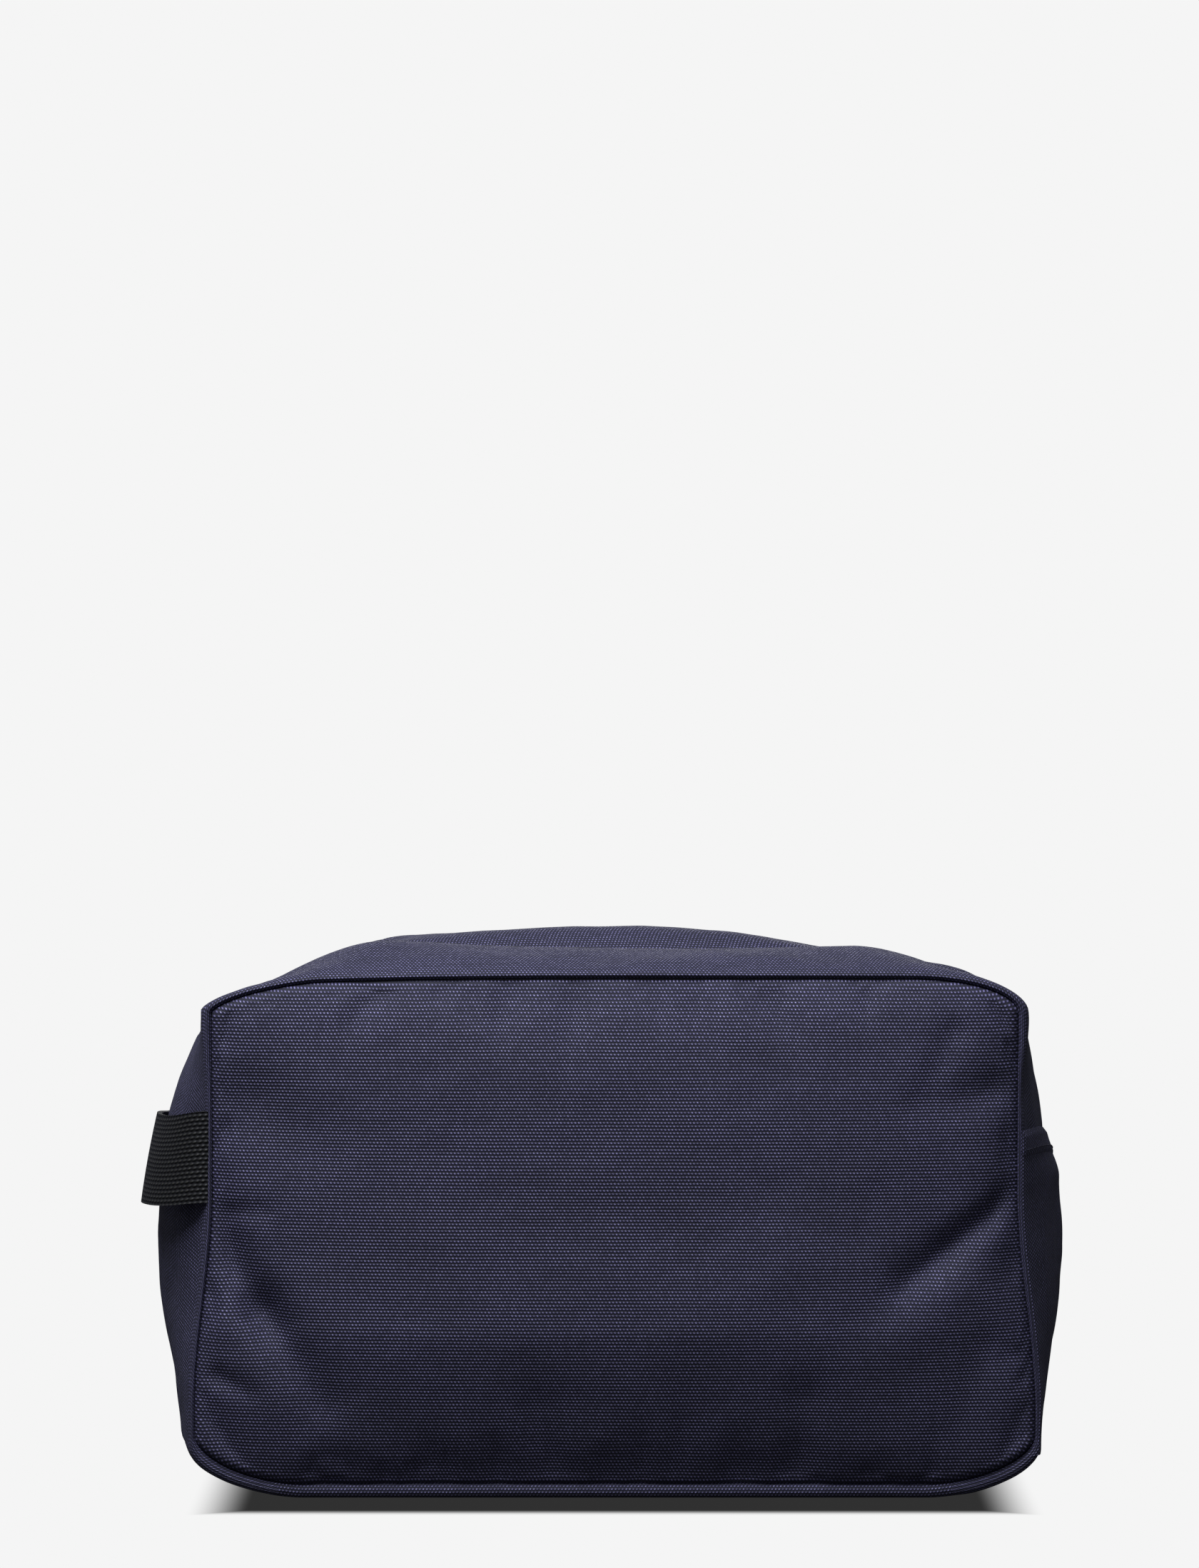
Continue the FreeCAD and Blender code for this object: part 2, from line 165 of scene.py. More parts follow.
def ridge_lift(x, side, share):
    """The two ridges aren't level: the front one stands highest on the left, the rear mid-way."""
    if side < 0:
        lift = 2.6 * bell(x + 78, 30) - 1.2 * bell(x - 20, 42) + 0.1 * bell(x - 88, 30)
    else:
        lift = 1.0 - 4.6 * smooth(abs(x + 4) / 105)
    return lift * share


def rear_sag(x):
    """The rear corners are emptier, so the shoulders sink more than in front."""
    return 7.5 * smooth((-x - 74) / 42) + 6.5 * smooth((x - 34) / 62)


def half_outline(t, side, end, inset=0.0, swell_more=None):
    """Half of one row's closed outline, from the middle of the top, round one end, to the
    middle of the bottom. side is -1 in front and 1 behind, end is -1 at the handle."""
    y, roll, below, above, share, rx, rz, power = row_at(t)
    near_seam = 1 - share
    if end < 0:
        rx, rz, power = rx + 6 * near_seam, rz + 0.5 * near_seam, power - 0.4 * near_seam
    else:
        rx, rz = rx + 4 * near_seam, rz + 2.0 * near_seam
    if side < 0:
        rx, rz = rx - 14 * share, rz - 4 * share
    grow = roll - inset
    low, top = LOW_Z - grow - below, TOP_Z + grow + above
    ridge = bell(y - 35, 13)

    def side_x(z):
        swell = end_bulge(z, end)
        if swell_more is not None:
            swell = swell + swell_more(z)
        turned_in = 0.45 * smooth((152 - z) / 24) * roll * (1 - share)
        return seam_half(z) + grow - turned_in + share * swell

    angle = np.linspace(90, 0, CORNER_POINTS)[1:] * math.pi / 180
    z = top - rz + rz * np.sin(angle) ** (2 / power)
    x = side_x(z) - rx * (1 - np.cos(angle) ** (2 / power))
    flat_x = np.linspace(0, x[0], CORNER_POINTS)
    shoulder = [np.r_[flat_x, x], np.r_[np.full(CORNER_POINTS, top), z]]
    foot_rx, foot_rz, foot_power = 36.0, 16.0, 1.8
    side_z = np.linspace(top - rz, low + foot_rz, SIDE_POINTS)[1:]
    foot = np.linspace(0, 90, FOOT_POINTS)[1:] * math.pi / 180
    foot_z = low + foot_rz - foot_rz * np.sin(foot) ** (2 / foot_power)
    foot_x = side_x(foot_z) - foot_rx * (1 - np.cos(foot) ** (2 / foot_power))
    base_x = np.linspace(foot_x[-1], 0, BASE_POINTS)[1:]
    x = np.r_[shoulder[0], side_x(side_z), foot_x, base_x]
    z = np.r_[shoulder[1], side_z, foot_z, np.full(BASE_POINTS - 1, low)]
    over = smooth((z - 150) / 12)
    droop = 1.5 if end < 0 else 0.2
    z = z + over * (-droop * (np.minimum(x, 110) / 100) ** 2 + ridge_lift(end * x, side, ridge))
    if side > 0:
        z = z - rear_sag(end * x) * smooth((z - 128) / 34) * smooth((y - 14) / 20)
    return np.column_stack([end * x, np.full(len(x), side * y), z])


def top_line(t, side):
    """A row's line over the top, from the left end to the right."""
    left, right = half_outline(t, side, -1), half_outline(t, side, 1)
    return np.concatenate([left[:SHOULDER_END][::-1], right[1:SHOULDER_END]])


def distance_along(path):
    """How far along a path each of its points is."""
    return np.r_[0, np.cumsum(np.linalg.norm(np.diff(path, axis=0), axis=1))]


def walk(path, count, start=0.0, stop=1.0):
    """count points evenly along part of a path."""
    along = distance_along(path)
    want = np.linspace(start * along[-1], stop * along[-1], count)
    return np.column_stack([np.interp(want, along, path[:, k]) for k in range(3)])


# %% [markdown]
# ## Turning rows into cloth
# Every soft piece is a grid of points. A grid primitive with the right number of cuts is added,
# its corners are moved to those points, and its UV map gets true lengths in metres, so that a
# weave drawn in UV space has the same pitch on every piece. Cloth has a thickness, which a
# Solidify modifier gives.


# %% Mesh helpers
def deselect():
    for other in bpy.context.selected_objects:
        other.select_set(False)


def pick(piece):
    """Select one piece alone and make it the active one."""
    deselect()
    piece.select_set(True)
    bpy.context.view_layer.objects.active = piece


def apply_modifiers(piece):
    """Apply all of a piece's modifiers in order."""
    pick(piece)
    for modifier in list(piece.modifiers):
        bpy.ops.object.modifier_apply(modifier=modifier.name)


def smooth_shading(piece, angle=50):
    """Shade smooth, but keep edges sharper than an angle in degrees."""
    pick(piece)
    bpy.ops.object.shade_smooth_by_angle(angle=math.radians(angle))


def face_outwards(piece):
    """Turn all faces of a closed shape outwards."""
    pick(piece)
    bpy.ops.object.mode_set(mode="EDIT")
    bpy.ops.mesh.select_all(action="SELECT")
    bpy.ops.mesh.normals_make_consistent(inside=False)
    bpy.ops.object.mode_set(mode="OBJECT")


def piece_from(name, corners, faces, material):
    """A new piece from corners in millimetres and faces."""
    mesh = bpy.data.meshes.new(name)
    mesh.from_pydata((corners * MM).tolist(), [], faces)
    piece = bpy.data.objects.new(name, mesh)
    bpy.context.collection.objects.link(piece)
    mesh.materials.append(material)
    return piece


def cloth_grid(name, points, material, outward, thickness=CLOTH, uv_start=(0, 0), uv=None):
    """A piece of cloth through a grid of points, in millimetres: points[row][column]."""
    rows, columns = points.shape[:2]
    deselect()
    bpy.ops.mesh.primitive_grid_add(x_subdivisions=columns - 1, y_subdivisions=rows - 1, size=1)
    piece = bpy.context.object
    piece.name = piece.data.name = name
    mesh = piece.data
    points = np.dstack([points[:, :, :2], np.maximum(points[:, :, 2], 0.0)])
    mesh.vertices.foreach_set("co", (points * MM).astype(np.float32).ravel())
    wide = np.linalg.norm(np.diff(points, axis=0), axis=2).sum(axis=0).mean()
    long = np.linalg.norm(np.diff(points, axis=1), axis=2).sum(axis=1).mean()
    print(name, "is about", round(wide), "by", round(long), "mm flat")
    if uv is None:
        across = np.cumsum(np.linalg.norm(np.diff(points, axis=0), axis=2), axis=0)
        along = np.cumsum(np.linalg.norm(np.diff(points, axis=1), axis=2), axis=1)
        u = np.concatenate([np.zeros((rows, 1)), along], axis=1) + uv_start[0]
        v = np.concatenate([np.zeros((1, columns)), across], axis=0) + uv_start[1]
        uv = np.stack([u, v], axis=2)
    corner_vertex = np.zeros(len(mesh.loops), np.int32)
    mesh.loops.foreach_get("vertex_index", corner_vertex)
    flat_uv = (uv * MM).reshape(-1, 2)[corner_vertex]
    mesh.uv_layers[0].data.foreach_set("uv", flat_uv.astype(np.float32).ravel())
    mesh.update()
    middle = mesh.polygons[len(mesh.polygons) // 2 + columns // 2]
    if middle.normal.dot(Vector(outward)) < 0:
        mesh.flip_normals()
    if thickness:
        solidify = piece.modifiers.new("thickness", "SOLIDIFY")
        solidify.thickness = thickness * MM
        solidify.offset = -1
        apply_modifiers(piece)
    mesh.materials.append(material)
    smooth_shading(piece)
    return piece


# %% [markdown]
# ## Finishes: the weave
# The canvas is a plain weave of shiny polyester yarn. Each weft float carries a small bright dash,
# a highlight painted into the base colour, its neighbours in the next row half a step along, with
# shade painted into the dark gaps below. A product of two cosines has its peaks on exactly that
# staggered grid. Each row is sheared a little, which slants the dashes, and white noise makes some
# painted highlights brighter than others. It is built once, as a node group, and each cloth places
# it with its own pitch. The group gives masks and a height; the shader stays in the material.


# %% Node helpers
def new_group(name, inputs, outputs):
    """An empty shader node group with named float or vector sockets."""
    group = bpy.data.node_groups.new(name, "ShaderNodeTree")
    for label, kind, value in inputs:
        socket = group.interface.new_socket(label, in_out="INPUT", socket_type=kind)
        if value is not None:
            socket.default_value = value
    for label, kind in outputs:
        group.interface.new_socket(label, in_out="OUTPUT", socket_type=kind)
    source = group.nodes.new("NodeGroupInput")
    sink = group.nodes.new("NodeGroupOutput")
    return group, source, sink


def maths(tree, operation, a, b=None, c=None):
    """One maths node. Each operand is a number or an output socket."""
    node = tree.nodes.new("ShaderNodeMath")
    node.operation = operation
    for index, operand in enumerate((a, b, c)):
        if operand is None:
            continue
        if isinstance(operand, (int, float)):
            node.inputs[index].default_value = operand
        else:
            tree.links.new(operand, node.inputs[index])
    return node.outputs[0]


def object_place(tree):
    """Where a point is on the piece itself."""
    return tree.nodes.new("ShaderNodeTexCoord").outputs["Object"]


def noise_node(tree, vector, scale, detail, roughness=0.5):
    """Soft noise from 0 to 1."""
    node = tree.nodes.new("ShaderNodeTexNoise")
    node.inputs["Scale"].default_value = scale
    node.inputs["Detail"].default_value = detail
    node.inputs["Roughness"].default_value = roughness
    tree.links.new(vector, node.inputs["Vector"])
    return node.outputs["Fac"]


def add_bump(tree, shader, height, distance):
    """Let a height shape a shader's surface, at a true depth in metres."""
    bump = tree.nodes.new("ShaderNodeBump")
    bump.inputs["Distance"].default_value = distance
    tree.links.new(height, bump.inputs["Height"])
    tree.links.new(bump.outputs[0], shader.inputs["Normal"])


def mix_colours(tree, factor, a, b):
    """Colour a where the factor is 0, b where it is 1."""
    node = tree.nodes.new("ShaderNodeMix")
    node.data_type = "RGBA"
    for socket, value in ((node.inputs[0], factor), (node.inputs[6], a), (node.inputs[7], b)):
        if isinstance(value, bpy.types.NodeSocket):
            tree.links.new(value, socket)
        else:
            socket.default_value = value if isinstance(value, (int, float)) else (*value, 1)
    return node.outputs[2]


# %% The weave group
def row_saw(tree, v, row):
    """Distance across a row of the weave from its middle, which slants the floats."""
    turns = maths(tree, "DIVIDE", v, row)
    from_middle = maths(tree, "SUBTRACT", turns, maths(tree, "ROUND", turns))
    return maths(tree, "MULTIPLY", from_middle, row)


def build_weave_group():
    group, source, sink = new_group(
        "staggered_weave",
        [("Vector", "NodeSocketVector", None), ("Pitch", "NodeSocketFloat", 0.00114),
         ("Row", "NodeSocketFloat", 0.00107), ("Wander", "NodeSocketFloat", 0.00012)],
        [("Float", "NodeSocketFloat"), ("Gap_shade", "NodeSocketFloat"), ("Height", "NodeSocketFloat"),
         ("Yarn", "NodeSocketFloat"), ("Cloudy", "NodeSocketFloat")],
    )
    vector = source.outputs["Vector"]
    split = group.nodes.new("ShaderNodeSeparateXYZ")
    group.links.new(vector, split.inputs[0])
    drift = maths(group, "SUBTRACT", noise_node(group, vector, 260.0, 1.0), 0.5)
    drift = maths(group, "MULTIPLY", drift, source.outputs["Wander"])
    slant = maths(group, "MULTIPLY", row_saw(group, split.outputs[1], source.outputs["Row"]), 0.30)
    u = maths(group, "ADD", maths(group, "ADD", split.outputs[0], drift), slant)
    v = maths(group, "SUBTRACT", split.outputs[1], drift)
    turns = maths(group, "DIVIDE", u, source.outputs["Pitch"])
    rows = maths(group, "DIVIDE", v, source.outputs["Row"])
    wave_u = maths(group, "COSINE", maths(group, "MULTIPLY", turns, 2 * math.pi))
    wave_v = maths(group, "COSINE", maths(group, "MULTIPLY", rows, math.pi))
    product = maths(group, "MULTIPLY", wave_u, wave_v)
    row_wave = maths(group, "COSINE", maths(group, "MULTIPLY", rows, 2 * math.pi))
    row_lift = maths(group, "MULTIPLY", maths(group, "ADD", row_wave, 1.0), 0.5)
    narrow_lift = maths(group, "POWER", row_lift, 2.2)
    raised = maths(group, "MULTIPLY", maths(group, "MAXIMUM", product, 0.0), narrow_lift)
    raised = maths(group, "POWER", raised, 0.8)
    # Painted highlight: the float mask, made uneven per float by a lottery, lays the glint colour
    # on each float and lowers its roughness there.
    cell = group.nodes.new("ShaderNodeCombineXYZ")
    half_step = maths(group, "MULTIPLY", maths(group, "ROUND", rows), 0.5)
    group.links.new(maths(group, "ROUND", maths(group, "ADD", turns, half_step)), cell.inputs[0])
    group.links.new(maths(group, "ROUND", rows), cell.inputs[1])
    lottery = group.nodes.new("ShaderNodeTexWhiteNoise")
    group.links.new(cell.outputs[0], lottery.inputs["Vector"])
    uneven = maths(group, "MULTIPLY_ADD", lottery.outputs["Value"], 0.9, 0.5)
    group.links.new(maths(group, "MULTIPLY", raised, uneven), sink.inputs["Float"])
    # Painted shade: the gaps beside each float and the dark rows between floats.
    painted_gap_shade = maths(group, "MAXIMUM", maths(group, "MULTIPLY", product, -1.0), 0.0)
    between_rows_shade = maths(group, "SUBTRACT", 1.0, row_lift)
    group.links.new(maths(group, "MAXIMUM", painted_gap_shade, between_rows_shade), sink.inputs["Gap_shade"])
    height = maths(group, "MULTIPLY_ADD", product, 0.35, maths(group, "MULTIPLY", row_lift, 0.65))
    group.links.new(height, sink.inputs["Height"])
    streak = group.nodes.new("ShaderNodeMapping")
    streak.inputs["Scale"].default_value = (18.0, 900.0, 1.0)
    group.links.new(vector, streak.inputs["Vector"])
    group.links.new(noise_node(group, streak.outputs[0], 1.0, 1.0), sink.inputs["Yarn"])
    group.links.new(noise_node(group, vector, 34.0, 4.0, 0.6), sink.inputs["Cloudy"])
    return group


weave_group = build_weave_group()


def start_material(name, colour):
    """A material with its nodes cleared down to a Principled BSDF."""
    material = bpy.data.materials.new(name)
    material.use_nodes = True
    material.diffuse_color = (*colour, 1)
    shader = material.node_tree.nodes["Principled BSDF"]
    shader.inputs["Base Color"].default_value = (*colour, 1)
    return material, material.node_tree, shader


def woven_material(
    name, painted_gap_shade, yarn, glint, pitch, row, relief, roughness, sheen, wander=0.00012, shine=0.35,
):
    """A woven cloth that reads its piece's UV map, which is in metres."""
    material, tree, shader = start_material(name, yarn)
    place = tree.nodes.new("ShaderNodeUVMap")
    place.uv_map = "UVMap"
    weave = tree.nodes.new("ShaderNodeGroup")
    weave.node_tree = weave_group
    tree.links.new(place.outputs[0], weave.inputs["Vector"])
    weave.inputs["Pitch"].default_value = pitch
    weave.inputs["Row"].default_value = row
    weave.inputs["Wander"].default_value = wander
    # Painted shade darkens the gaps and the rows between floats; the glint colour is a highlight
    # painted on each float.
    yarn_with_gap_shade = mix_colours(tree, weave.outputs["Gap_shade"], yarn, painted_gap_shade)
    lit = mix_colours(tree, weave.outputs["Float"], yarn_with_gap_shade, glint)
    tone = maths(tree, "MULTIPLY_ADD", weave.outputs["Yarn"], 0.5, 0.55)
    cloud = maths(tree, "MULTIPLY_ADD", weave.outputs["Cloudy"], 0.5, 0.55)
    amount = maths(tree, "MULTIPLY", maths(tree, "MULTIPLY", tone, cloud), 1.4)
    shade = tree.nodes.new("ShaderNodeVectorMath")
    shade.operation = "SCALE"
    tree.links.new(lit, shade.inputs[0])
    tree.links.new(amount, shade.inputs["Scale"])
    tree.links.new(shade.outputs[0], shader.inputs["Base Color"])
    rough = maths(tree, "MULTIPLY_ADD", weave.outputs["Float"], -0.55, roughness)
    tree.links.new(rough, shader.inputs["Roughness"])
    add_bump(tree, shader, weave.outputs["Height"], relief)
    shader.inputs["Sheen Weight"].default_value = sheen
    shader.inputs["Sheen Roughness"].default_value = 0.5
    shader.inputs["Sheen Tint"].default_value = (0.6, 0.62, 0.85, 1)
    shader.inputs["Specular IOR Level"].default_value = shine
    shader.inputs["Specular Tint"].default_value = (0.80, 0.84, 1.0, 1)
    return material


# %% The bag's cloths
canvas = woven_material(
    "navy_canvas", painted_gap_shade=(0.003, 0.0026, 0.010), yarn=(0.025, 0.0225, 0.074),
    glint=(0.25, 0.238, 0.50), pitch=0.00114, row=0.00107, relief=0.00022,
    roughness=0.78, sheen=0.015, shine=0.7,
)
webbing = woven_material(
    "black_webbing", painted_gap_shade=(0.002, 0.002, 0.002), yarn=(0.017, 0.017, 0.016),
    glint=(0.05, 0.05, 0.047), pitch=0.0019, row=0.0014, relief=0.0004,
    roughness=0.75, sheen=0.03, wander=0.0002,
)
lining_cloth = woven_material(
    "dark_lining", painted_gap_shade=(0.010, 0.010, 0.014), yarn=(0.020, 0.020, 0.028),
    glint=(0.035, 0.035, 0.045), pitch=0.0004, row=0.0004, relief=0.00004,
    roughness=0.5, sheen=0.15,
)
tape_cloth = woven_material(
    "zip_tape_cloth", painted_gap_shade=(0.006, 0.006, 0.013), yarn=(0.024, 0.024, 0.046),
    glint=(0.06, 0.06, 0.09), pitch=0.0010, row=0.0006, relief=0.00012,
    roughness=0.65, sheen=0.05,
)

# %% [markdown]
# ## The panels
# A panel's edge is caught in the seam, sunk a little way in, and rolls out of it before it swells
# forwards. The swelling is lowest down, where the padding has settled, so that the upper two
# thirds face slightly upwards. Creases are soft dents along short lines, placed where the cloth
# is pulled by the corners and by the handle's seam. The shape is drawn first and then settled:
# a short cloth simulation, with the edge pinned in the seam and a light pressure from the padding,
# moves each point a millimetre or two, which takes the drawn look off the creases.


# %% Panel shape
def dent(x, z, start, end, width, depth):
    """A crease: a soft valley along a line, fading out at its ends."""
    ax, az = start
    bx, bz = end
    length2 = (bx - ax) ** 2 + (bz - az) ** 2
    along = ((x - ax) * (bx - ax) + (z - az) * (bz - az)) / length2
    near = np.clip(along, 0, 1)
    distance = np.hypot(x - ax - near * (bx - ax), z - az - near * (bz - az))
    return -depth * bell(distance, width) * (1 - 0.55 * near)


FRONT_CREASES = [
    # start, end, width, depth
    ((127, 98), (92, 70), 5.0, 4.0),
    ((104, 80), (76, 56), 9.0, 1.8),
    ((-127, 86), (-110, 58), 7.0, 5.2),
    ((-112, 60), (-94, 33), 8.0, 4.4),
    ((-130, 93), (-112, 93), 3.2, 1.9),
    ((-127, 40), (-116, 35), 3.5, 1.6),
    ((-114, 126), (-98, 120), 12.0, 1.8),
    ((126, 133), (104, 128), 7.0, 2.2),
    ((108, 150), (96, 128), 5.0, 1.2),
    ((60, 34), (58, 12), 8.0, 1.3),
    ((-24, 30), (-20, 10), 9.0, 1.0),
    ((118, 50), (108, 22), 8.0, 1.4),
    ((52, 158), (58, 132), 7.0, 0.7),
    ((-40, 160), (-36, 136), 9.0, 0.6),
    ((-123, 56), (-108, 34), 8.0, -1.2),
    ((112, 72), (92, 52), 8.0, -0.9),
]
REAR_CREASES = [
    ((126, 60), (96, 88), 7.0, 2.8),
    ((-127, 70), (-95, 52), 7.5, 2.6),
    ((-110, 130), (-80, 138), 12.0, 1.6),
    ((40, 30), (46, 8), 12.0, 1.0),
    ((118, 120), (88, 128), 10.0, 1.8),
]


SEAM_DEEP = ROWS[SEAM_ROW, 0]
CROWN, CROWN_Z = 10.0, 55.0


def panel_crown(u, z):
    """How far a panel stands out: most a third of the way up, leaning back above that."""
    below = np.clip((CROWN_Z - z) / (CROWN_Z - LOW_Z), 0, 1)
    above = np.clip((z - CROWN_Z) / (TOP_Z - CROWN_Z), 0, 1)
    profile = (1 - below**1.2) * (1 - 0.62 * above**1.15 - 0.38 * above**7)
    return CROWN * (1 - np.abs(u) ** 3.2) * profile


def panel_points(creases, seed, columns=190, rows=112, side=-1):
    """A panel's grid, facing -y: the rows run from the bottom seam to the top one."""
    s = np.linspace(-1, 1, columns)
    across = 0.35 * s + 0.65 * np.sin(s * math.pi / 2)
    t = np.linspace(0, 1, rows)
    up = 0.35 * t + 0.65 * (0.5 - 0.5 * np.cos(t * math.pi))
    left, right = half_outline(SEAM_ROW, side, -1), half_outline(SEAM_ROW, side, 1)
    top_edge = top_line(SEAM_ROW, side)
    low_edge = np.concatenate([left[FOOT_START:], right[FOOT_START:][::-1][1:]])
    u, v = np.meshgrid(across, up)
    z = LOW_Z + v * (TOP_Z - LOW_Z)
    for _ in range(12):
        x = u * seam_half(z)
        top = np.interp(x, top_edge[:, 0], top_edge[:, 2])
        low = np.interp(x, low_edge[:, 0], low_edge[:, 2])
        z = low + v * (top - low)
    inside_x = seam_half(z) * (1 - np.abs(u))
    inside = np.minimum(inside_x, np.minimum(top - z, z - low))
    inside = np.maximum(inside, 0)
    lip_depth = 2.4
    near = lip_depth - np.minimum(inside, lip_depth)
    lip = np.sqrt(np.clip(lip_depth**2 - near**2, 0, None))
    crown = panel_crown(u, z)
    shape = sum(dent(x, z, *crease) for crease in creases)
    ripple = np.zeros_like(x)
    for row in range(rows):
        for column in range(columns):
            spot = Vector((x[row, column] / 34, z[row, column] / 26, seed))
            fine = Vector((x[row, column] / 11, z[row, column] / 9, seed + 5))
            ripple[row, column] = 0.9 * noise.noise(spot) + 0.22 * noise.noise(fine)
    ripple = ripple * (0.45 + 0.55 * smooth((z - 30) / 50))
    hold = smooth(inside / 9)
    y = -(SEAM_DEEP + lip * 1.4 + crown + (shape + ripple) * hold)
    return np.stack([x, y, z], axis=2)


SETTLE_CAP, SETTLE_EVERY, SETTLE_FRAMES = 2.2, 3, 20


def settled(points):
    """Let the panel settle over its padding: a short cloth simulation on every third point.

    The edge is pinned in the seam, the cloth is cut a little large and pressed from inside, and
    no point may end further than the cap from where it began."""
    rows, columns = points.shape[:2]
    row_picks = np.unique(np.r_[np.arange(0, rows, SETTLE_EVERY), rows - 1])
    column_picks = np.unique(np.r_[np.arange(0, columns, SETTLE_EVERY), columns - 1])
    coarse = points[np.ix_(row_picks, column_picks)]
    tall, wide = coarse.shape[:2]
    deselect()
    bpy.ops.mesh.primitive_grid_add(x_subdivisions=wide - 1, y_subdivisions=tall - 1, size=1)
    trial = bpy.context.object
    trial.data.vertices.foreach_set("co", (coarse * MM).astype(np.float32).ravel())
    trial.data.update()
    if trial.data.polygons[len(trial.data.polygons) // 2].normal.y > 0:
        trial.data.flip_normals()
    pins = trial.vertex_groups.new(name="in the seam")
    numbers = np.arange(tall * wide).reshape(tall, wide)
    edge = np.concatenate([numbers[0], numbers[-1], numbers[:, 0], numbers[:, -1]])
    pins.add([int(i) for i in np.unique(edge)], 1.0, "REPLACE")
    cloth = trial.modifiers.new("settle", "CLOTH")
    cloth.settings.quality = 6
    cloth.settings.mass = 0.25
    cloth.settings.tension_stiffness = 12
    cloth.settings.compression_stiffness = 12
    cloth.settings.shear_stiffness = 6
    cloth.settings.bending_stiffness = 0.8
    cloth.settings.air_damping = 4
    cloth.settings.shrink_min = -0.012
    cloth.settings.use_pressure = True
    cloth.settings.uniform_pressure_force = 4.0
    cloth.settings.effector_weights.gravity = 0
    cloth.settings.vertex_group_mass = pins.name
    cloth.collision_settings.use_self_collision = False
    for step in range(1, SETTLE_FRAMES + 1):
        bpy.context.scene.frame_set(step)
    apply_modifiers(trial)
    after = np.array([v.co for v in trial.data.vertices]).reshape(tall, wide, 3) / MM
    bpy.data.objects.remove(trial)
    bpy.context.scene.frame_set(1)
    moved = (after - coarse)[:, :, 1]
    moved = SETTLE_CAP * np.tanh(moved / SETTLE_CAP)
    print("settling moved the panel by at most", round(float(np.abs(moved).max()), 2), "mm")
    along = np.array([np.interp(np.arange(columns), column_picks, line) for line in moved])
    fine = np.array([np.interp(np.arange(rows), row_picks, line) for line in along.T]).T
    out = points.copy()
    out[:, :, 1] += fine
    return out


def with_allowance(points):
    """The panel with its seam allowance turned in behind it, one row on each side."""
    rows, columns = points.shape[:2]
    wide = np.pad(points, ((1, 1), (1, 1), (0, 0)), mode="edge")
    rim = np.ones((rows + 2, columns + 2), bool)
    rim[1:-1, 1:-1] = False
    centre = np.array([0, 0, (LOW_Z + TOP_Z) / 2])
    inwards = centre - wide[rim]
    inwards[:, 1] = 0
    inwards /= np.linalg.norm(inwards, axis=1)[:, None]
    wide[rim] = wide[rim] + inwards * 0.4 + np.array([0, 2.2, 0])
    return wide


front_points = panel_points(FRONT_CREASES, 3.0)
rear_points = panel_points(REAR_CREASES, 9.0, side=1)
front_points, rear_points = settled(front_points), settled(rear_points)
front_points = with_allowance(front_points)
rear_points = with_allowance(rear_points) * np.array([1, -1, 1])
front_panel = cloth_grid(
    "front_panel_cloth", front_points, canvas, (0, -1, 0), uv=front_points[:, :, [0, 2]],
)
rear_panel = cloth_grid(
    "rear_panel_cloth", rear_points, canvas, (0, 1, 0), uv=rear_points[:, :, [0, 2]],
)
for piece, names in (
    (front_panel, ("front_panel", "front_padding")),
    (rear_panel, ("rear_panel", "rear_padding")),
):
    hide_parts(*names)
    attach(piece, "bag")
print("front panel:", len(front_panel.data.polygons), "faces")

# %% [markdown]
# ## The strip: bottom, ends and top bands
# The strip is one shape cut into five pieces where the real one is sewn or where it folds. Each
# piece walks along the same rows, so the pieces meet exactly.


# %% Cut the strip
def strip_rows(fine):
    """Row indices from the front seam to the middle, fine steps to each row."""
    return np.linspace(0, MIDDLE_ROW, MIDDLE_ROW * fine + 1)


def all_rows(fine=2):
    """(row index, side) for every row from the front seam to the rear one."""
    front = [(t, -1) for t in strip_rows(fine)]
    return front + [(t, 1) for t in strip_rows(fine)[::-1][1:]]


def split_at(path, x, top):
    """Where a half outline crosses a distance from the middle, as a share of its length."""
    along = distance_along(path)
    distance = np.abs(path[:, 0])
    widest = int(np.argmax(distance))
    if top:
        spot = np.interp(x, distance[:widest], along[:widest])
    else:
        spot = np.interp(x, distance[widest:][::-1], along[widest:][::-1])
    return spot / along[-1]


BASE_X = 108.0
END_COLUMNS, BASE_COLUMNS, BAND_COLUMNS = 170, 60, 108


def end_points(end):
    """One end of the strip, from the end of the zip, over the shoulder and down to the base."""
    rows = []
    for t, side in all_rows():
        path = half_outline(t, side, end)
        start, stop = split_at(path, ZIP_END_X, True), split_at(path, BASE_X, False)
        rows.append(walk(path, END_COLUMNS, start, stop))
    return np.array(rows)


def soften(points, seed, amount, hold_columns=6):
    """Small dents and swellings, none at the edges, along each point's own normal."""
    rows, columns = points.shape[:2]
    along = np.gradient(points, axis=1)
    across = np.gradient(points, axis=0)
    normal = np.cross(along, across)
    normal /= np.maximum(np.linalg.norm(normal, axis=2), 1e-9)[:, :, None]
    r = np.arange(rows)[:, None]
    c = np.arange(columns)[None, :]
    hold = smooth(np.minimum(r, rows - 1 - r) / 9 - 0.55)
    hold = hold * smooth(np.minimum(c, columns - 1 - c) / hold_columns)
    wave = np.zeros((rows, columns))
    for row in range(rows):
        for column in range(columns):
            x, y, z = points[row, column]
            wave[row, column] = noise.noise(Vector((x / 24, y / 19, z / 24 + seed)))
            wave[row, column] += 0.3 * noise.noise(Vector((x / 9, y / 8, z / 9 + seed)))
    return points + normal * (wave * hold * amount)[:, :, None]


left_points = soften(end_points(-1), 2.0, 1.1)
right_points = soften(end_points(1), 4.0, 1.0)
left_end = cloth_grid("left_end_cloth", left_points, canvas, (-1, 0, 0), uv_start=(ZIP_END_X, 0))
right_end = cloth_grid("right_end_cloth", right_points, canvas, (1, 0, 0), uv_start=(ZIP_END_X, 0))

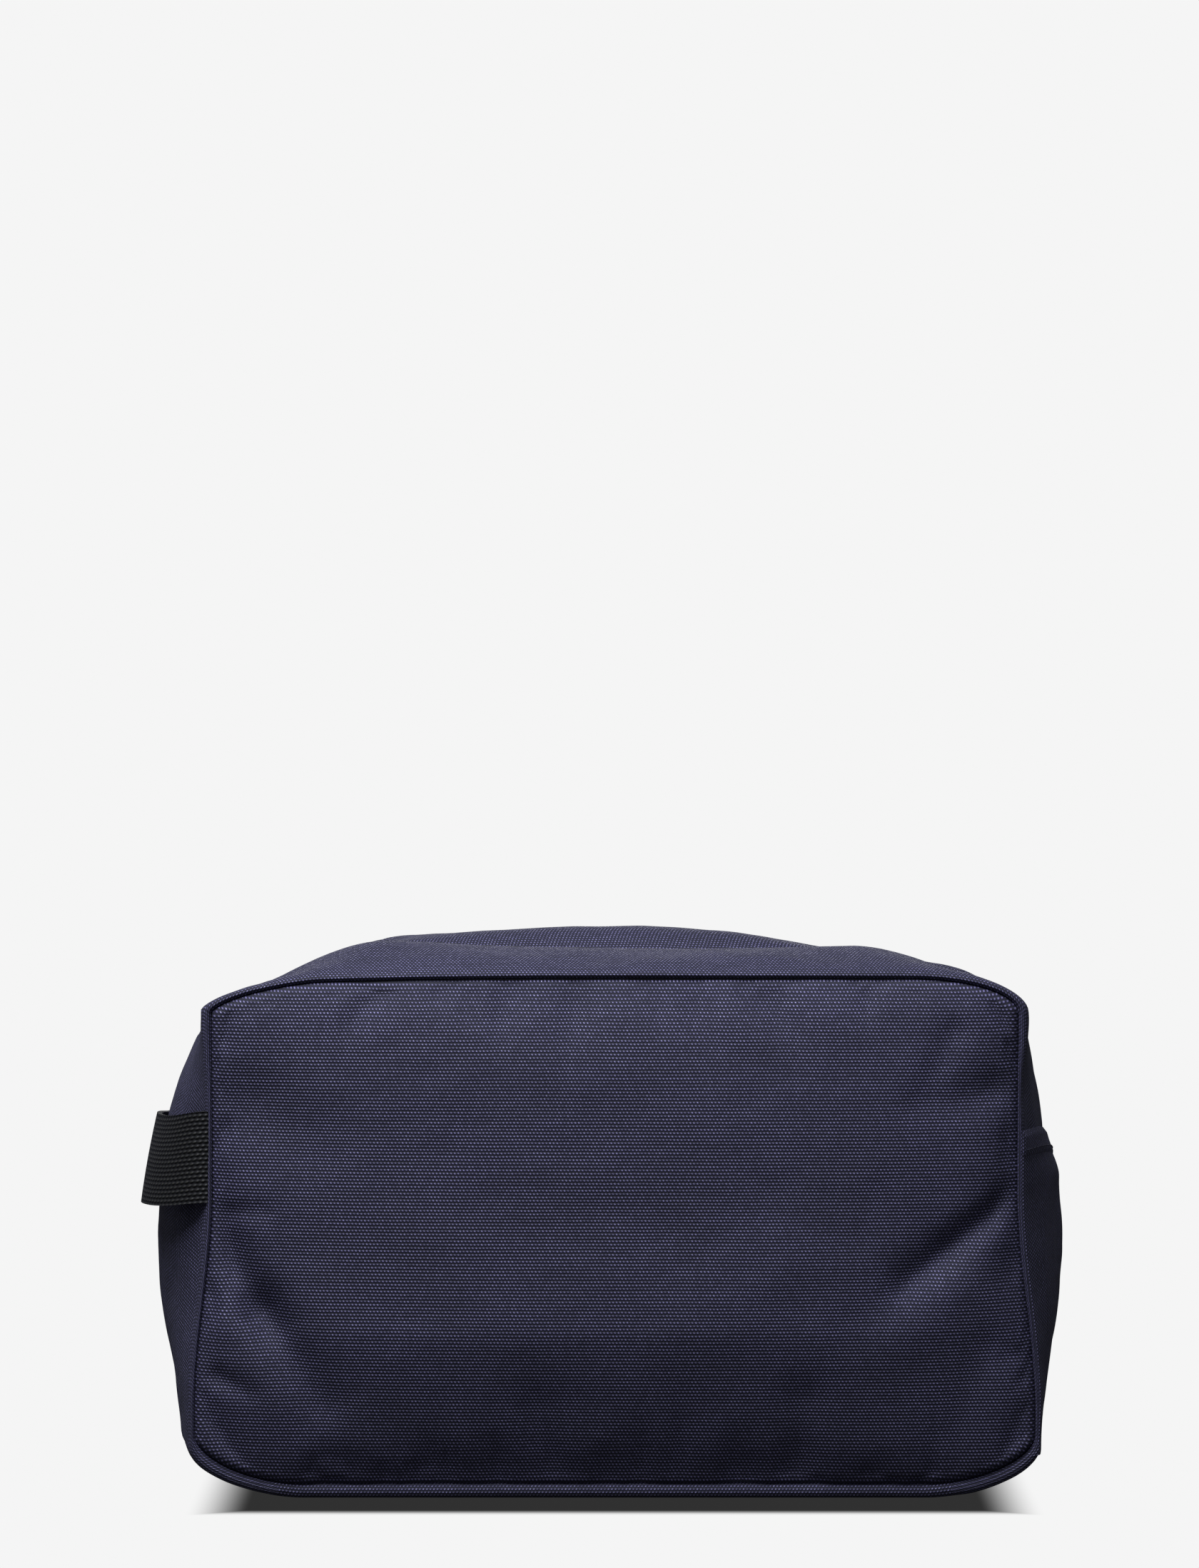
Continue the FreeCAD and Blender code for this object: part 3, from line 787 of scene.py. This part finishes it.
base_rows = []
for t, side in all_rows():
    left = half_outline(t, side, -1)
    right = half_outline(t, side, 1)
    low_left = walk(left, BASE_COLUMNS, split_at(left, BASE_X, False), 1.0)
    low_right = walk(right, BASE_COLUMNS, split_at(right, BASE_X, False), 1.0)
    base_rows.append(np.concatenate([low_left, low_right[::-1][1:]]))
base_points = np.array(base_rows)
bottom = cloth_grid("bottom_cloth", base_points, canvas, (0, 0, -1))

for piece, names in (
    (left_end, ("left_end_gusset",)),
    (right_end, ("right_end_gusset",)),
    (bottom, ("bottom_gusset", "bottom_padding")),
):
    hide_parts(*names)
    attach(piece, "bag")

# %% [markdown]
# ## The top bands
# A band is fixed beyond the ends of the zip's opening and folds back between them. Here each
# band is laid over the top between the ends of the zip, softened a little, and its placement is
# baked into its mesh.


def fold_with(piece):
    """Bake a piece's placement into its mesh and read back its corners."""
    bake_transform(piece)
    places = np.zeros(len(piece.data.vertices) * 3, np.float32)
    piece.data.vertices.foreach_get("co", places)


def over_the_top(side, row_numbers, inset, columns):
    """A sheet over the top between the ends of the zip, a little way in."""
    rows = []
    for t in row_numbers:
        left, right = (
            walk(path, columns, 0.0, split_at(path, ZIP_END_X, True))
            for path in (half_outline(t, side, end, inset) for end in (-1, 1))
        )
        rows.append(np.concatenate([left[::-1], right[1:]]))
    return np.array(rows)


band_rows = np.linspace(0, EDGE_ROW, EDGE_ROW * 2 + 1)
for side, name, flap in ((-1, "front", "front_flap"), (1, "rear", "rear_flap")):
    points = over_the_top(side, band_rows, 0.0, BAND_COLUMNS)
    points = soften(points, 6.0 + side, 0.9, 10)
    band = cloth_grid(f"top_band_{name}_cloth", points, canvas, (0, 0, 1), uv_start=(-ZIP_END_X, 0))
    fold_with(band)
    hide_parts(f"top_band_{name}")

# %% [markdown]
# ## The side pocket
# The right end carries a slip pocket: one more layer of canvas over the strip, caught in the
# same seams, with its top edge turned down in a hem. The hem is close to the end and hangs
# lowest at the middle, and below it the pocket swells, because something has been kept in it.

# %% Side pocket
POCKET_TOP_Z = box_mm("side_pocket")[1][2]
POCKET_BASE_Z = 14.0
POCKET_COLUMNS = 90
HEM_DEPTH = 9.0


def pocket_swell(z):
    """How far the pocket stands off the end at a height."""
    return 0.2 + 3.8 * smooth((119 - z) / 18) * smooth((z - 14) / 60) - 0.2 * smooth((40 - z) / 28)


def pocket_sheet(top, base, offset, columns):
    """The strip's right end between two heights, a little outside it."""
    lines = []
    for t, side in all_rows()[1:-1]:
        path = half_outline(t, side, 1, -offset, pocket_swell)
        along = distance_along(path)
        share = [np.interp(-z, -path[:, 2], along) / along[-1] for z in (top, base)]
        lines.append(walk(path, columns, *share))
    return np.array(lines)


pocket_points = pocket_sheet(POCKET_TOP_Z, POCKET_BASE_Z, 0.9, POCKET_COLUMNS)
pocket_points[:, :, 0] -= 0.4 * smooth((34 - pocket_points[:, :, 2]) / 16)
pocket_points[:, :, 2] -= 10.0 * bell(pocket_points[:, :, 1] - 14, 38) * smooth(
    (pocket_points[:, :, 2] - 80) / 36
)
pocket_points = soften(pocket_points, 11.0, 0.9, 30)
pocket = cloth_grid("side_pocket_cloth", pocket_points, canvas, (1, 0, 0), uv_start=(250, 0))
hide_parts("side_pocket")
hem_columns = 1 + int(POCKET_COLUMNS * HEM_DEPTH / (POCKET_TOP_Z - POCKET_BASE_Z))
hem_points = pocket_points[3:-3, :hem_columns] + np.array([0.45, 0, 0.25])
hem_points[:, 0] += np.array([-0.9, 0, 0.35])
hem_points[:, -1] -= np.array([0.5, 0, 0])
hem = cloth_grid("side_pocket_hem", hem_points, canvas, (1, 0, 0), 0.7, uv_start=(250, 0))
for piece in (pocket, hem):
    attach(piece, "bag")

# %% [markdown]
# ## Stitches
# A stitch is a short fat thread lying on the cloth. One is made from a cylinder with its ends
# drawn in, and copies are laid along each sewn line, turned to follow it.

# %% Stitch rows
thread, thread_tree, thread_shader = start_material("navy_thread", (0.030, 0.030, 0.058))
thread_shader.inputs["Roughness"].default_value = 0.55
thread_noise = noise_node(thread_tree, object_place(thread_tree), 2600.0, 2.0)
thread_tree.links.new(
    mix_colours(thread_tree, thread_noise, (0.020, 0.020, 0.040), (0.050, 0.050, 0.095)),
    thread_shader.inputs["Base Color"],
)


def one_stitch(length, radius):
    """Corners and faces of one stitch along +x, from a cylinder with drawn-in ends."""
    deselect()
    bpy.ops.mesh.primitive_cylinder_add(
        vertices=6, radius=radius, depth=length, end_fill_type="TRIFAN",
        rotation=(0, math.pi / 2, 0),
    )
    piece = bpy.context.object
    bpy.ops.object.transform_apply(rotation=True)
    bpy.ops.object.mode_set(mode="EDIT")
    bpy.ops.mesh.select_all(action="SELECT")
    bpy.ops.mesh.subdivide(number_cuts=1)
    bpy.ops.object.mode_set(mode="OBJECT")
    corners = np.array([v.co for v in piece.data.vertices])
    drawn = 1 - 0.65 * (np.abs(corners[:, 0]) / (length / 2)) ** 3
    corners[:, 1:] *= drawn[:, None]
    faces = [tuple(face.vertices) for face in piece.data.polygons]
    bpy.data.objects.remove(piece)
    return corners, faces


STITCH_PITCH, STITCH_LENGTH, THREAD_RADIUS = 3.3, 2.5, 0.26


def stitch_row(name, path, out):
    """Stitches along a path of points in millimetres; out is the way the cloth faces there."""
    total = np.linalg.norm(np.diff(path, axis=0), axis=1).sum()
    line = walk(path, max(int(total / STITCH_PITCH), 2))
    ahead = np.gradient(line, axis=0)
    ahead /= np.linalg.norm(ahead, axis=1)[:, None]
    corners, faces = one_stitch(STITCH_LENGTH, THREAD_RADIUS)
    all_corners, all_faces = [], []
    for index, (spot, forward) in enumerate(zip(line, ahead)):
        facing = np.array(out, float)
        facing = facing - forward * facing.dot(forward)
        facing /= np.linalg.norm(facing)
        turn = np.column_stack([forward, np.cross(facing, forward), facing])
        all_corners.append(corners @ turn.T + spot + facing * 0.05)
        all_faces += [tuple(index * len(corners) + k for k in face) for face in faces]
    piece = piece_from(name, np.concatenate(all_corners), all_faces, thread)
    smooth_shading(piece, 70)
    return piece


hem_line = hem_points[1:-1, -3] + np.array([0.1, 0, 0])
hem_stitches = stitch_row("side_pocket_stitches", hem_line, (1, 0, 0.1))
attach(hem_stitches, "bag")

# %% [markdown]
# ## Lining
# Inside, a thin dark lining follows the canvas a little way in, further where there is padding
# between them. It is cut like the outer cloth, so the same rows make it, drawn in.

# %% Lining
WALL, PADDED_WALL, LINING = 3.2, 3.8, 0.4
INNER_ROW = 6


def inner_rows():
    """The strip's rows without those in the seams."""
    return [(t, side) for t, side in all_rows(1) if t >= INNER_ROW]


def lining_end(end):
    """The lining of one end, a little longer than the end at the top."""
    lines = []
    for t, side in inner_rows():
        path = half_outline(t, side, end, WALL)
        start, stop = split_at(path, ZIP_END_X - 2, True), split_at(path, BASE_X, False)
        lines.append(walk(path, 80, start, stop))
    return np.array(lines)


def lining_base():
    """The lining of the bottom, a little longer than the bottom at both ends."""
    lines = []
    for t, side in inner_rows():
        halves = []
        for end in (-1, 1):
            path = half_outline(t, side, end, PADDED_WALL)
            halves.append(walk(path, 40, split_at(path, BASE_X + 6, False), 1.0))
        lines.append(np.concatenate([halves[0], halves[1][::-1][1:]]))
    return np.array(lines)


lining_sheets = [
    ("left", lining_end(-1), (1, 0, 0), (0.120, 0.192), left_end),
    ("right", lining_end(1), (-1, 0, 0), (0.118, 0.190), right_end),
    ("bottom", lining_base(), (0, 0, 1), (0.115, 0.230), bottom),
]
for side, name, panel in ((-1, "front", front_panel), (1, "rear", rear_panel)):
    points = panel_points([], 20.0 + side, 60, 40, side)
    points[:, :, 1] += PADDED_WALL + 2.6
    lining_sheets.append((
        name, points * np.array([1, -side, 1]), (0, -side, 0), (0.165, 0.270), panel,
    ))
for name, points, facing, flat, wall in lining_sheets:
    piece = cloth_grid(f"lining_{name}_cloth", points, lining_cloth, facing, LINING)
    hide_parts(f"lining_{name}")
    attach(piece, "bag")

TAPE_OUTER_ROW = 12.6
TOP_LINING_ROWS, TOP_LINING_COLUMNS, TOP_LINING_WALL = 14, 70, 2.8
lining_rows = np.linspace(4.6, TAPE_OUTER_ROW, TOP_LINING_ROWS)
for side, name, flap in ((-1, "front", "front_flap"), (1, "rear", "rear_flap")):
    points = over_the_top(side, lining_rows, TOP_LINING_WALL, TOP_LINING_COLUMNS)
    piece = cloth_grid(f"top_lining_{name}_cloth", points, lining_cloth, (0, 0, -1), LINING)
    fold_with(piece)
    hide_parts(f"top_lining_{name}")

# %% [markdown]
# ## Seam bindings
# Inside the bag the raw edges of the two long seams are bound with a narrow folded tape. A ring
# of small round sections along the seam makes it.


# %% Bound seams
def closed_outline(t, side, inset):
    """A whole outline: the right half from the top down, then the left half back up."""
    right = walk(half_outline(t, side, 1, inset), 150)
    left = walk(half_outline(t, side, -1, inset), 150)
    return np.concatenate([right, left[::-1][1:-1]])


def ring_tube(name, path, across, radius_in, radius_y, material):
    """A closed tube along a closed path, flat or round in section."""
    around = 10
    centre = path.mean(axis=0)
    rings = []
    for k in range(around):
        angle = 2 * math.pi * k / around
        inwards = centre - path
        inwards[:, 1] = 0
        inwards /= np.linalg.norm(inwards, axis=1)[:, None]
        rings.append(
            path + inwards * (across + radius_in * math.cos(angle))
            + np.array([0, radius_y * math.sin(angle), 0])
        )
    corners = np.array(rings).transpose(1, 0, 2)
    count = len(path)
    faces = [
        (i * around + k, i * around + (k + 1) % around,
         (i + 1) % count * around + (k + 1) % around, (i + 1) % count * around + k)
        for i in range(count) for k in range(around)
    ]
    piece = piece_from(name, corners.reshape(-1, 3), faces, material)
    face_outwards(piece)
    smooth_shading(piece, 60)
    return piece


binding_tape, binding_tree, binding_shader = start_material(
    "binding_tape", (0.014, 0.014, 0.018),
)
binding_shader.inputs["Roughness"].default_value = 0.8
binding_ribs = noise_node(binding_tree, object_place(binding_tree), 1500.0, 3.0)
add_bump(binding_tree, binding_shader, binding_ribs, 0.0002)
for side, name in ((-1, "front"), (1, "rear")):
    path = closed_outline(INNER_ROW - 1, side, 4.0)
    path[:, 1] = side * (SEAM_Y - 5.2)
    binding = ring_tube(f"{name}_seam_tape", path, 2.2, 2.0, 1.0, binding_tape)
    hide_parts(f"{name}_seam_binding")
    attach(binding, "bag")

# %% [markdown]
# ## The zip
# The zip is two woven tapes with a row of coiled nylon along each inner edge. Each turn of the
# coil is a short round bar with a swollen head that reaches across the middle and locks between
# two heads of the other side. One is modelled, an array repeats it, and the row is then laid
# along the valley, which dips at its ends.


# %% Zip tapes and coils
def row_z(t, side, x):
    """Height of a row of the canvas along the top."""
    line = top_line(t, side)
    return np.interp(x, line[:, 0], line[:, 2])


def valley_z(x):
    """Height of the canvas at the middle of the top."""
    return row_z(MIDDLE_ROW, -1, x)


TAPE = 0.6
COIL_PITCH, COIL_RADIUS = 1.45, 0.42
coil_low, coil_high = box_mm("zip_coil_ends")
coil_plastic, coil_tree, coil_shader = start_material("coil_nylon", (0.020, 0.020, 0.036))
coil_noise = noise_node(coil_tree, object_place(coil_tree), 900.0, 2.0)
coil_tree.links.new(
    maths(coil_tree, "MULTIPLY_ADD", coil_noise, 0.2, 0.24), coil_shader.inputs["Roughness"],
)


def build_coil(name, side):
    """One side's row of coil turns, joined in one mesh."""
    reach_out, reach_in = 3.3, -0.75
    deselect()
    bpy.ops.mesh.primitive_cylinder_add(
        vertices=8, radius=COIL_RADIUS * MM, depth=(reach_out - reach_in) * MM,
        location=(0, 0, 0), rotation=(math.pi / 2, 0, 0),
    )
    piece = bpy.context.object
    piece.name = piece.data.name = name
    bpy.ops.object.transform_apply(rotation=True)
    bpy.ops.object.mode_set(mode="EDIT")
    for cut_y in (1.2, -1.0):
        bpy.ops.mesh.select_all(action="SELECT")
        bpy.ops.mesh.bisect(plane_co=(0, cut_y * MM, 0), plane_no=(0, 1, 0))
    bpy.ops.object.mode_set(mode="OBJECT")
    array = piece.modifiers.new("turns", "ARRAY")
    array.use_relative_offset = False
    array.use_constant_offset = True
    array.constant_offset_displace = (COIL_PITCH * MM, 0, 0)
    array.count = int((coil_high[0] - coil_low[0] - 1) / COIL_PITCH)
    apply_modifiers(piece)
    corners = np.array([v.co for v in piece.data.vertices]) / MM
    turn_x = np.round(corners[:, 0] / COIL_PITCH) * COIL_PITCH
    y = (reach_out + reach_in) / 2 - corners[:, 1]
    head = smooth((0.9 - y) / 1.2)
    narrow = 1 - 0.28 * smooth((y - 1.4) / 1.5)
    x = turn_x + (corners[:, 0] - turn_x) * (narrow + 0.25 * head)
    z = corners[:, 2] * (narrow + 0.12 * head) * 1.6
    start = coil_low[0] + 0.9 + (COIL_PITCH / 2 if side > 0 else 0)
    x = x + start
    corners = np.column_stack([x, side * y, valley_z(x) - CLOTH + 0.75 + z])
    piece.data.vertices.foreach_set("co", (corners * MM).astype(np.float32).ravel())
    face_outwards(piece)
    piece.data.materials.append(coil_plastic)
    smooth_shading(piece, 40)
    return piece


TAPE_POINTS, STITCHED_POINTS, TAB_POINTS = 110, 200, 24
tape_x = np.linspace(tape_low[0], tape_high[0], TAPE_POINTS)
stitch_x = np.linspace(tape_low[0] + 5, tape_high[0] - 5, STITCHED_POINTS)
for side, name, flap in ((-1, "front", "front_flap"), (1, "rear", "rear_flap")):
    lines = [
        np.column_stack([
            tape_x, np.full(TAPE_POINTS, side * row_at(t)[0]),
            row_z(t, side, tape_x) - CLOTH - 0.1,
        ])
        for t in (TAPE_OUTER_ROW, 13.0, 13.4, 13.8, 14.3, 14.87)
    ]
    tape = cloth_grid(f"zip_tape_{name}_cloth", np.array(lines), tape_cloth, (0, 0, 1), TAPE)
    stitch_line = np.column_stack([
        stitch_x, np.full(STITCHED_POINTS, side * row_at(13.5)[0]),
        row_z(13.5, side, stitch_x) + 0.1,
    ])
    stitches = stitch_row(f"top_band_{name}_stitches", stitch_line, (0, 0, 1))
    fold_with(stitches)
    fold_with(tape)
    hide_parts(f"zip_tape_{name}", *(["zip_tape_ends"] if side < 0 else []))
    coil = build_coil(f"zip_coil_{name}_turns", side)
    fold_with(coil)
    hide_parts(f"zip_coil_{name}", *(["zip_coil_ends"] if side < 0 else []))

tab_low, tab_high = box_mm("zip_end_tab")
tab_x = np.linspace(tab_low[0] - 2.5, tab_high[0], TAB_POINTS)
tab_lines = [
    np.column_stack([
        tab_x, np.full(TAB_POINTS, y), valley_z(tab_x) + 0.9 - 0.6 * (abs(y) / 6.0) ** 3,
    ])
    for y in np.linspace(tab_low[1], tab_high[1], 13)
]
tab = cloth_grid("zip_end_tab_cloth", np.array(tab_lines), canvas, (0, 0, 1), 0.9)
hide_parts("zip_end_tab")
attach(tab, "bag")

# %% [markdown]
# ## Slider, stops and pull tab
# These are the engineering model's own shapes. They are zinc, painted black: the paint is satin,
# a little uneven, and worn through to a grey sheen in small specks.

# %% Painted metal
paint, paint_tree, paint_shader = start_material("black_painted_zinc", (0.012, 0.012, 0.013))
paint_place = object_place(paint_tree)
orange_peel = noise_node(paint_tree, paint_place, 1400.0, 3.0)
specks = noise_node(paint_tree, paint_place, 520.0, 6.0, 0.7)
worn = maths(paint_tree, "MULTIPLY", maths(paint_tree, "GREATER_THAN", specks, 0.68), 0.7)
paint_tree.links.new(
    mix_colours(paint_tree, worn, (0.012, 0.012, 0.013), (0.20, 0.20, 0.21)),
    paint_shader.inputs["Base Color"],
)
paint_tree.links.new(worn, paint_shader.inputs["Metallic"])
paint_tree.links.new(
    maths(paint_tree, "MULTIPLY_ADD", orange_peel, 0.22, 0.24), paint_shader.inputs["Roughness"],
)
add_bump(paint_tree, paint_shader, orange_peel, 0.00003)

stop_metal, stop_tree, stop_shader = start_material("stop_aluminium", (0.35, 0.35, 0.36))
stop_noise = noise_node(stop_tree, object_place(stop_tree), 1800.0, 2.0)
stop_shader.inputs["Metallic"].default_value = 1.0
stop_tree.links.new(
    maths(stop_tree, "MULTIPLY_ADD", stop_noise, 0.3, 0.3), stop_shader.inputs["Roughness"],
)
for node, finish in (
    ("zip_slider", paint), ("slider_bail", paint), ("pull_tab", paint),
    ("zip_top_stops", stop_metal), ("zip_bottom_stop", stop_metal),
):
    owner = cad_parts[node]
    for material_slot in owner.material_slots:
        material_slot.material = finish
    if not owner.material_slots:
        owner.data.materials.append(finish)

# %% [markdown]
# ## The grab handle
# A strip of stiff black webbing leaves the front seam, turns back round the left end and goes
# into the rear seam. Webbing can't stretch, so it is modelled directly as a bent strip. It hangs
# a few millimetres lower where it stands out furthest and behind, and its top edge leans in.

# %% Handle
strap_low, strap_high = box_mm("handle_webbing")
STRAP = 1.7
strap_out = strap_low[0] + 3.4
STRAP_ROUTE = [
    (-127.6, -58.6), (-129.6, -60.6), (-134.5, -60.4), (-140.5, -57.4), (-146.2, -52.0),
    (-150.8, -45.0), (strap_out + 1.2, -35.0), (strap_out, -18.0), (strap_out, 0.0),
]


def through(knots):
    """A Catmull-Rom curve through points."""
    per_span = 9
    knots = np.array(knots, float)
    padded = np.concatenate([2 * knots[:1] - knots[1:2], knots, 2 * knots[-1:] - knots[-2:-1]])
    out = []
    for i in range(len(knots) - 1):
        p0, p1, p2, p3 = padded[i:i + 4]
        for f in np.linspace(0, 1, per_span, endpoint=False):
            out.append(0.5 * (
                2 * p1 + (p2 - p0) * f + (2 * p0 - 5 * p1 + 4 * p2 - p3) * f**2
                + (3 * p1 - p0 - 3 * p2 + p3) * f**3
            ))
    out.append(knots[-1])
    return np.array(out)


route = through(STRAP_ROUTE + [(x, -y) for x, y in STRAP_ROUTE[-2::-1]])
middle_z = (strap_low[2] + strap_high[2]) / 2
strap_width = strap_high[2] - strap_low[2] - 0.8
SAG_OUT, SAG_BEHIND, LEAN = 3.0, 8.0, 5.4
outness = smooth((-130 - route[:, 0]) / 24)
behind = smooth((route[:, 1] + 50) / 100)
lines = []
for share in np.linspace(-0.5, 0.5, 25):
    height = middle_z + share * strap_width - SAG_OUT * outness - SAG_BEHIND * behind
    lean = LEAN * outness * (share + 0.5)
    cup = 0.35 * (1 - (2 * share) ** 2)
    lines.append(np.column_stack([route[:, 0] + lean - cup * outness, route[:, 1], height]))
strap_points = np.array(lines)
handle = cloth_grid("handle_webbing_strap", strap_points, webbing, (-1, 0, 0), STRAP)
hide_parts("handle_webbing")
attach(handle, "bag")

# %% [markdown]
# ## Inside: slip pocket and label
# A flat pocket of fine mesh is sewn to the rear lining, gathered by an elastic edge, and a blank
# label is caught on the front lining.

# %% Inner pocket
mesh_cloth = woven_material(
    "pocket_mesh", painted_gap_shade=(0.002, 0.002, 0.003), yarn=(0.018, 0.018, 0.022),
    glint=(0.06, 0.06, 0.07), pitch=0.0024, row=0.0012, relief=0.0003,
    roughness=0.6, sheen=0.1,
)
label_cloth = woven_material(
    "blank_label", painted_gap_shade=(0.55, 0.55, 0.54), yarn=(0.74, 0.74, 0.73),
    glint=(0.80, 0.80, 0.80), pitch=0.0003, row=0.0003, relief=0.00002,
    roughness=0.5, sheen=0.1,
)


def lining_y(x, z, side):
    """Where a padded lining faces the inside of the bag."""
    u = np.clip(np.abs(x) / seam_half(z), 0, 1)
    return side * (SEAM_DEEP + 3.4 + panel_crown(u, z) - PADDED_WALL - LINING - 3.5)


def flat_piece(name, node, side, material, stand_off, thickness, waves=0.0, grid=(70, 30)):
    """A piece lying flat on a panel's lining, as large as its node, gathered at its top edge."""
    low, high = box_mm(node)
    x, z = np.meshgrid(np.linspace(low[0], high[0], grid[0]), np.linspace(low[2], high[2], grid[1]))
    gather = waves * np.sin(x * 0.55) * smooth((z - high[2] + 30) / 30)
    y = lining_y(x, z, side) - side * (stand_off + gather + waves)
    piece = cloth_grid(name, np.stack([x, y, z], axis=2), material, (0, -side, 0), thickness)
    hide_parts(node)
    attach(piece, "bag")
    return piece


pocket_net = flat_piece(
    "inner_pocket_mesh", "inner_pocket", 1, mesh_cloth, 0.5, 0.35, 0.5, (160, 40),
)
elastic = flat_piece(
    "inner_pocket_edge", "inner_pocket_elastic", 1, binding_tape, 1.0, 0.9, 0.5, (160, 8),
)
label = flat_piece("care_label_blank", "care_label", -1, label_cloth, 0.3, 0.3)

# %% [markdown]
# ## Camera, floor and light
# The camera looks at the plain panel from a little above, with the bag low in the frame. The
# floor and the surroundings are the same pale grey. A broad light above the bag, to the left and
# in front, rakes down the panel, so that its low third, which faces slightly down, stays dark, and
# a weak low light behind the bag keeps its rear from going black. The dark line under the front
# edge is a shadow painted into the floor's colour: a light can't make one that crisp on a floor
# this pale.

# %% Camera
PANEL_SCALE_MM = 381.5
camera_data = bpy.data.cameras.new("camera")
camera = bpy.data.objects.new("camera", camera_data)
bpy.context.collection.objects.link(camera)
bpy.context.scene.camera = camera
camera_data.lens = 100
camera_data.sensor_width = 36
camera_data.clip_end = 20
IMAGE_WIDE, IMAGE_HIGH = 1680, 2197
view_height = PANEL_SCALE_MM * IMAGE_HIGH / IMAGE_WIDE
distance = view_height / (camera_data.sensor_width / camera_data.lens)
AIM = Vector((-4.9, -SEAM_Y, 229.2)) * MM
PITCH = math.radians(2.6)
camera.location = AIM + Vector((0, -math.cos(PITCH), math.sin(PITCH))) * distance * MM
camera.rotation_euler = (math.radians(90) - PITCH, 0, 0)
print("camera distance", round(distance), "mm")

# %% Floor
FLAT_GREY, SHADE_GREY = 0.913, 0.030
FLOOR_SIZE, FLOOR_DROP = 24, 0.2
deselect()
bpy.ops.mesh.primitive_plane_add(size=FLOOR_SIZE, location=(0, 0, -FLOOR_DROP * MM))
floor = bpy.context.object
floor.name = "floor"
floor_material, floor_tree, floor_shader = start_material("pale_floor", (FLAT_GREY,) * 3)
floor_tree.nodes.remove(floor_shader)
floor_place = floor_tree.nodes.new("ShaderNodeTexCoord")
floor_split = floor_tree.nodes.new("ShaderNodeSeparateXYZ")
floor_tree.links.new(floor_place.outputs["Object"], floor_split.inputs[0])


def past(axis, start, stop):
    """A soft step on the floor, from 0 at one distance from the middle to 1 at another."""
    step = floor_tree.nodes.new("ShaderNodeMapRange")
    step.interpolation_type = "SMOOTHSTEP"
    step.inputs["From Min"].default_value = start * MM
    step.inputs["From Max"].default_value = stop * MM
    offset = maths(floor_tree, "ABSOLUTE", floor_split.outputs[axis])
    floor_tree.links.new(offset, step.inputs["Value"])
    return step.outputs["Result"]


# Painted shadow: the floor's colour goes dark out to these distances from the bag's middle.
lit_floor = maths(floor_tree, "MAXIMUM", past(0, 116, 136), past(1, 77, 85))
shown = floor_tree.nodes.new("ShaderNodeEmission")
floor_tree.links.new(
    mix_colours(floor_tree, lit_floor, (SHADE_GREY,) * 3, (FLAT_GREY,) * 3),
    shown.inputs["Color"],
)
matte = floor_tree.nodes.new("ShaderNodeBsdfDiffuse")
matte.inputs["Color"].default_value = (0.06, 0.06, 0.06, 1)
rays = floor_tree.nodes.new("ShaderNodeLightPath")
either = floor_tree.nodes.new("ShaderNodeMixShader")
floor_tree.links.new(rays.outputs["Is Camera Ray"], either.inputs[0])
floor_tree.links.new(matte.outputs[0], either.inputs[1])
floor_tree.links.new(shown.outputs[0], either.inputs[2])
floor_tree.links.new(either.outputs[0], floor_tree.nodes["Material Output"].inputs["Surface"])
floor.data.materials.append(floor_material)

# %% Surroundings and lights
FILL = 0.14
world = bpy.data.worlds.new("studio")
bpy.context.scene.world = world
world.use_nodes = True
sky = world.node_tree
seen_sky = sky.nodes["Background"]
seen_sky.inputs["Color"].default_value = (*(FLAT_GREY,) * 3, 1)
fill_sky = sky.nodes.new("ShaderNodeBackground")
fill_sky.inputs["Color"].default_value = (0.95, 0.97, 1.0, 1)
fill_sky.inputs["Strength"].default_value = FILL
sky_rays = sky.nodes.new("ShaderNodeLightPath")
sky_mix = sky.nodes.new("ShaderNodeMixShader")
sky.links.new(sky_rays.outputs["Is Camera Ray"], sky_mix.inputs[0])
sky.links.new(fill_sky.outputs[0], sky_mix.inputs[1])
sky.links.new(seen_sky.outputs[0], sky_mix.inputs[2])
sky.links.new(sky_mix.outputs[0], sky.nodes["World Output"].inputs["Surface"])


def soft_light(name, place, aim, size, power):
    """A square studio light, turned to face a point."""
    data = bpy.data.lights.new(name, "AREA")
    data.shape = "SQUARE"
    data.size = size
    data.energy = power
    light = bpy.data.objects.new(name, data)
    bpy.context.collection.objects.link(light)
    light.location = place
    light.rotation_euler = (Vector(aim) - Vector(place)).to_track_quat("-Z", "Y").to_euler()


soft_light("top_light", (-0.26, -0.60, 1.20), (0, 0, 0.08), 0.75, 20.0)
soft_light("back_light", (0.0, 1.5, 0.40), (0, 0, 0.08), 0.9, 3.5)
bpy.context.scene.view_settings.view_transform = "Standard"
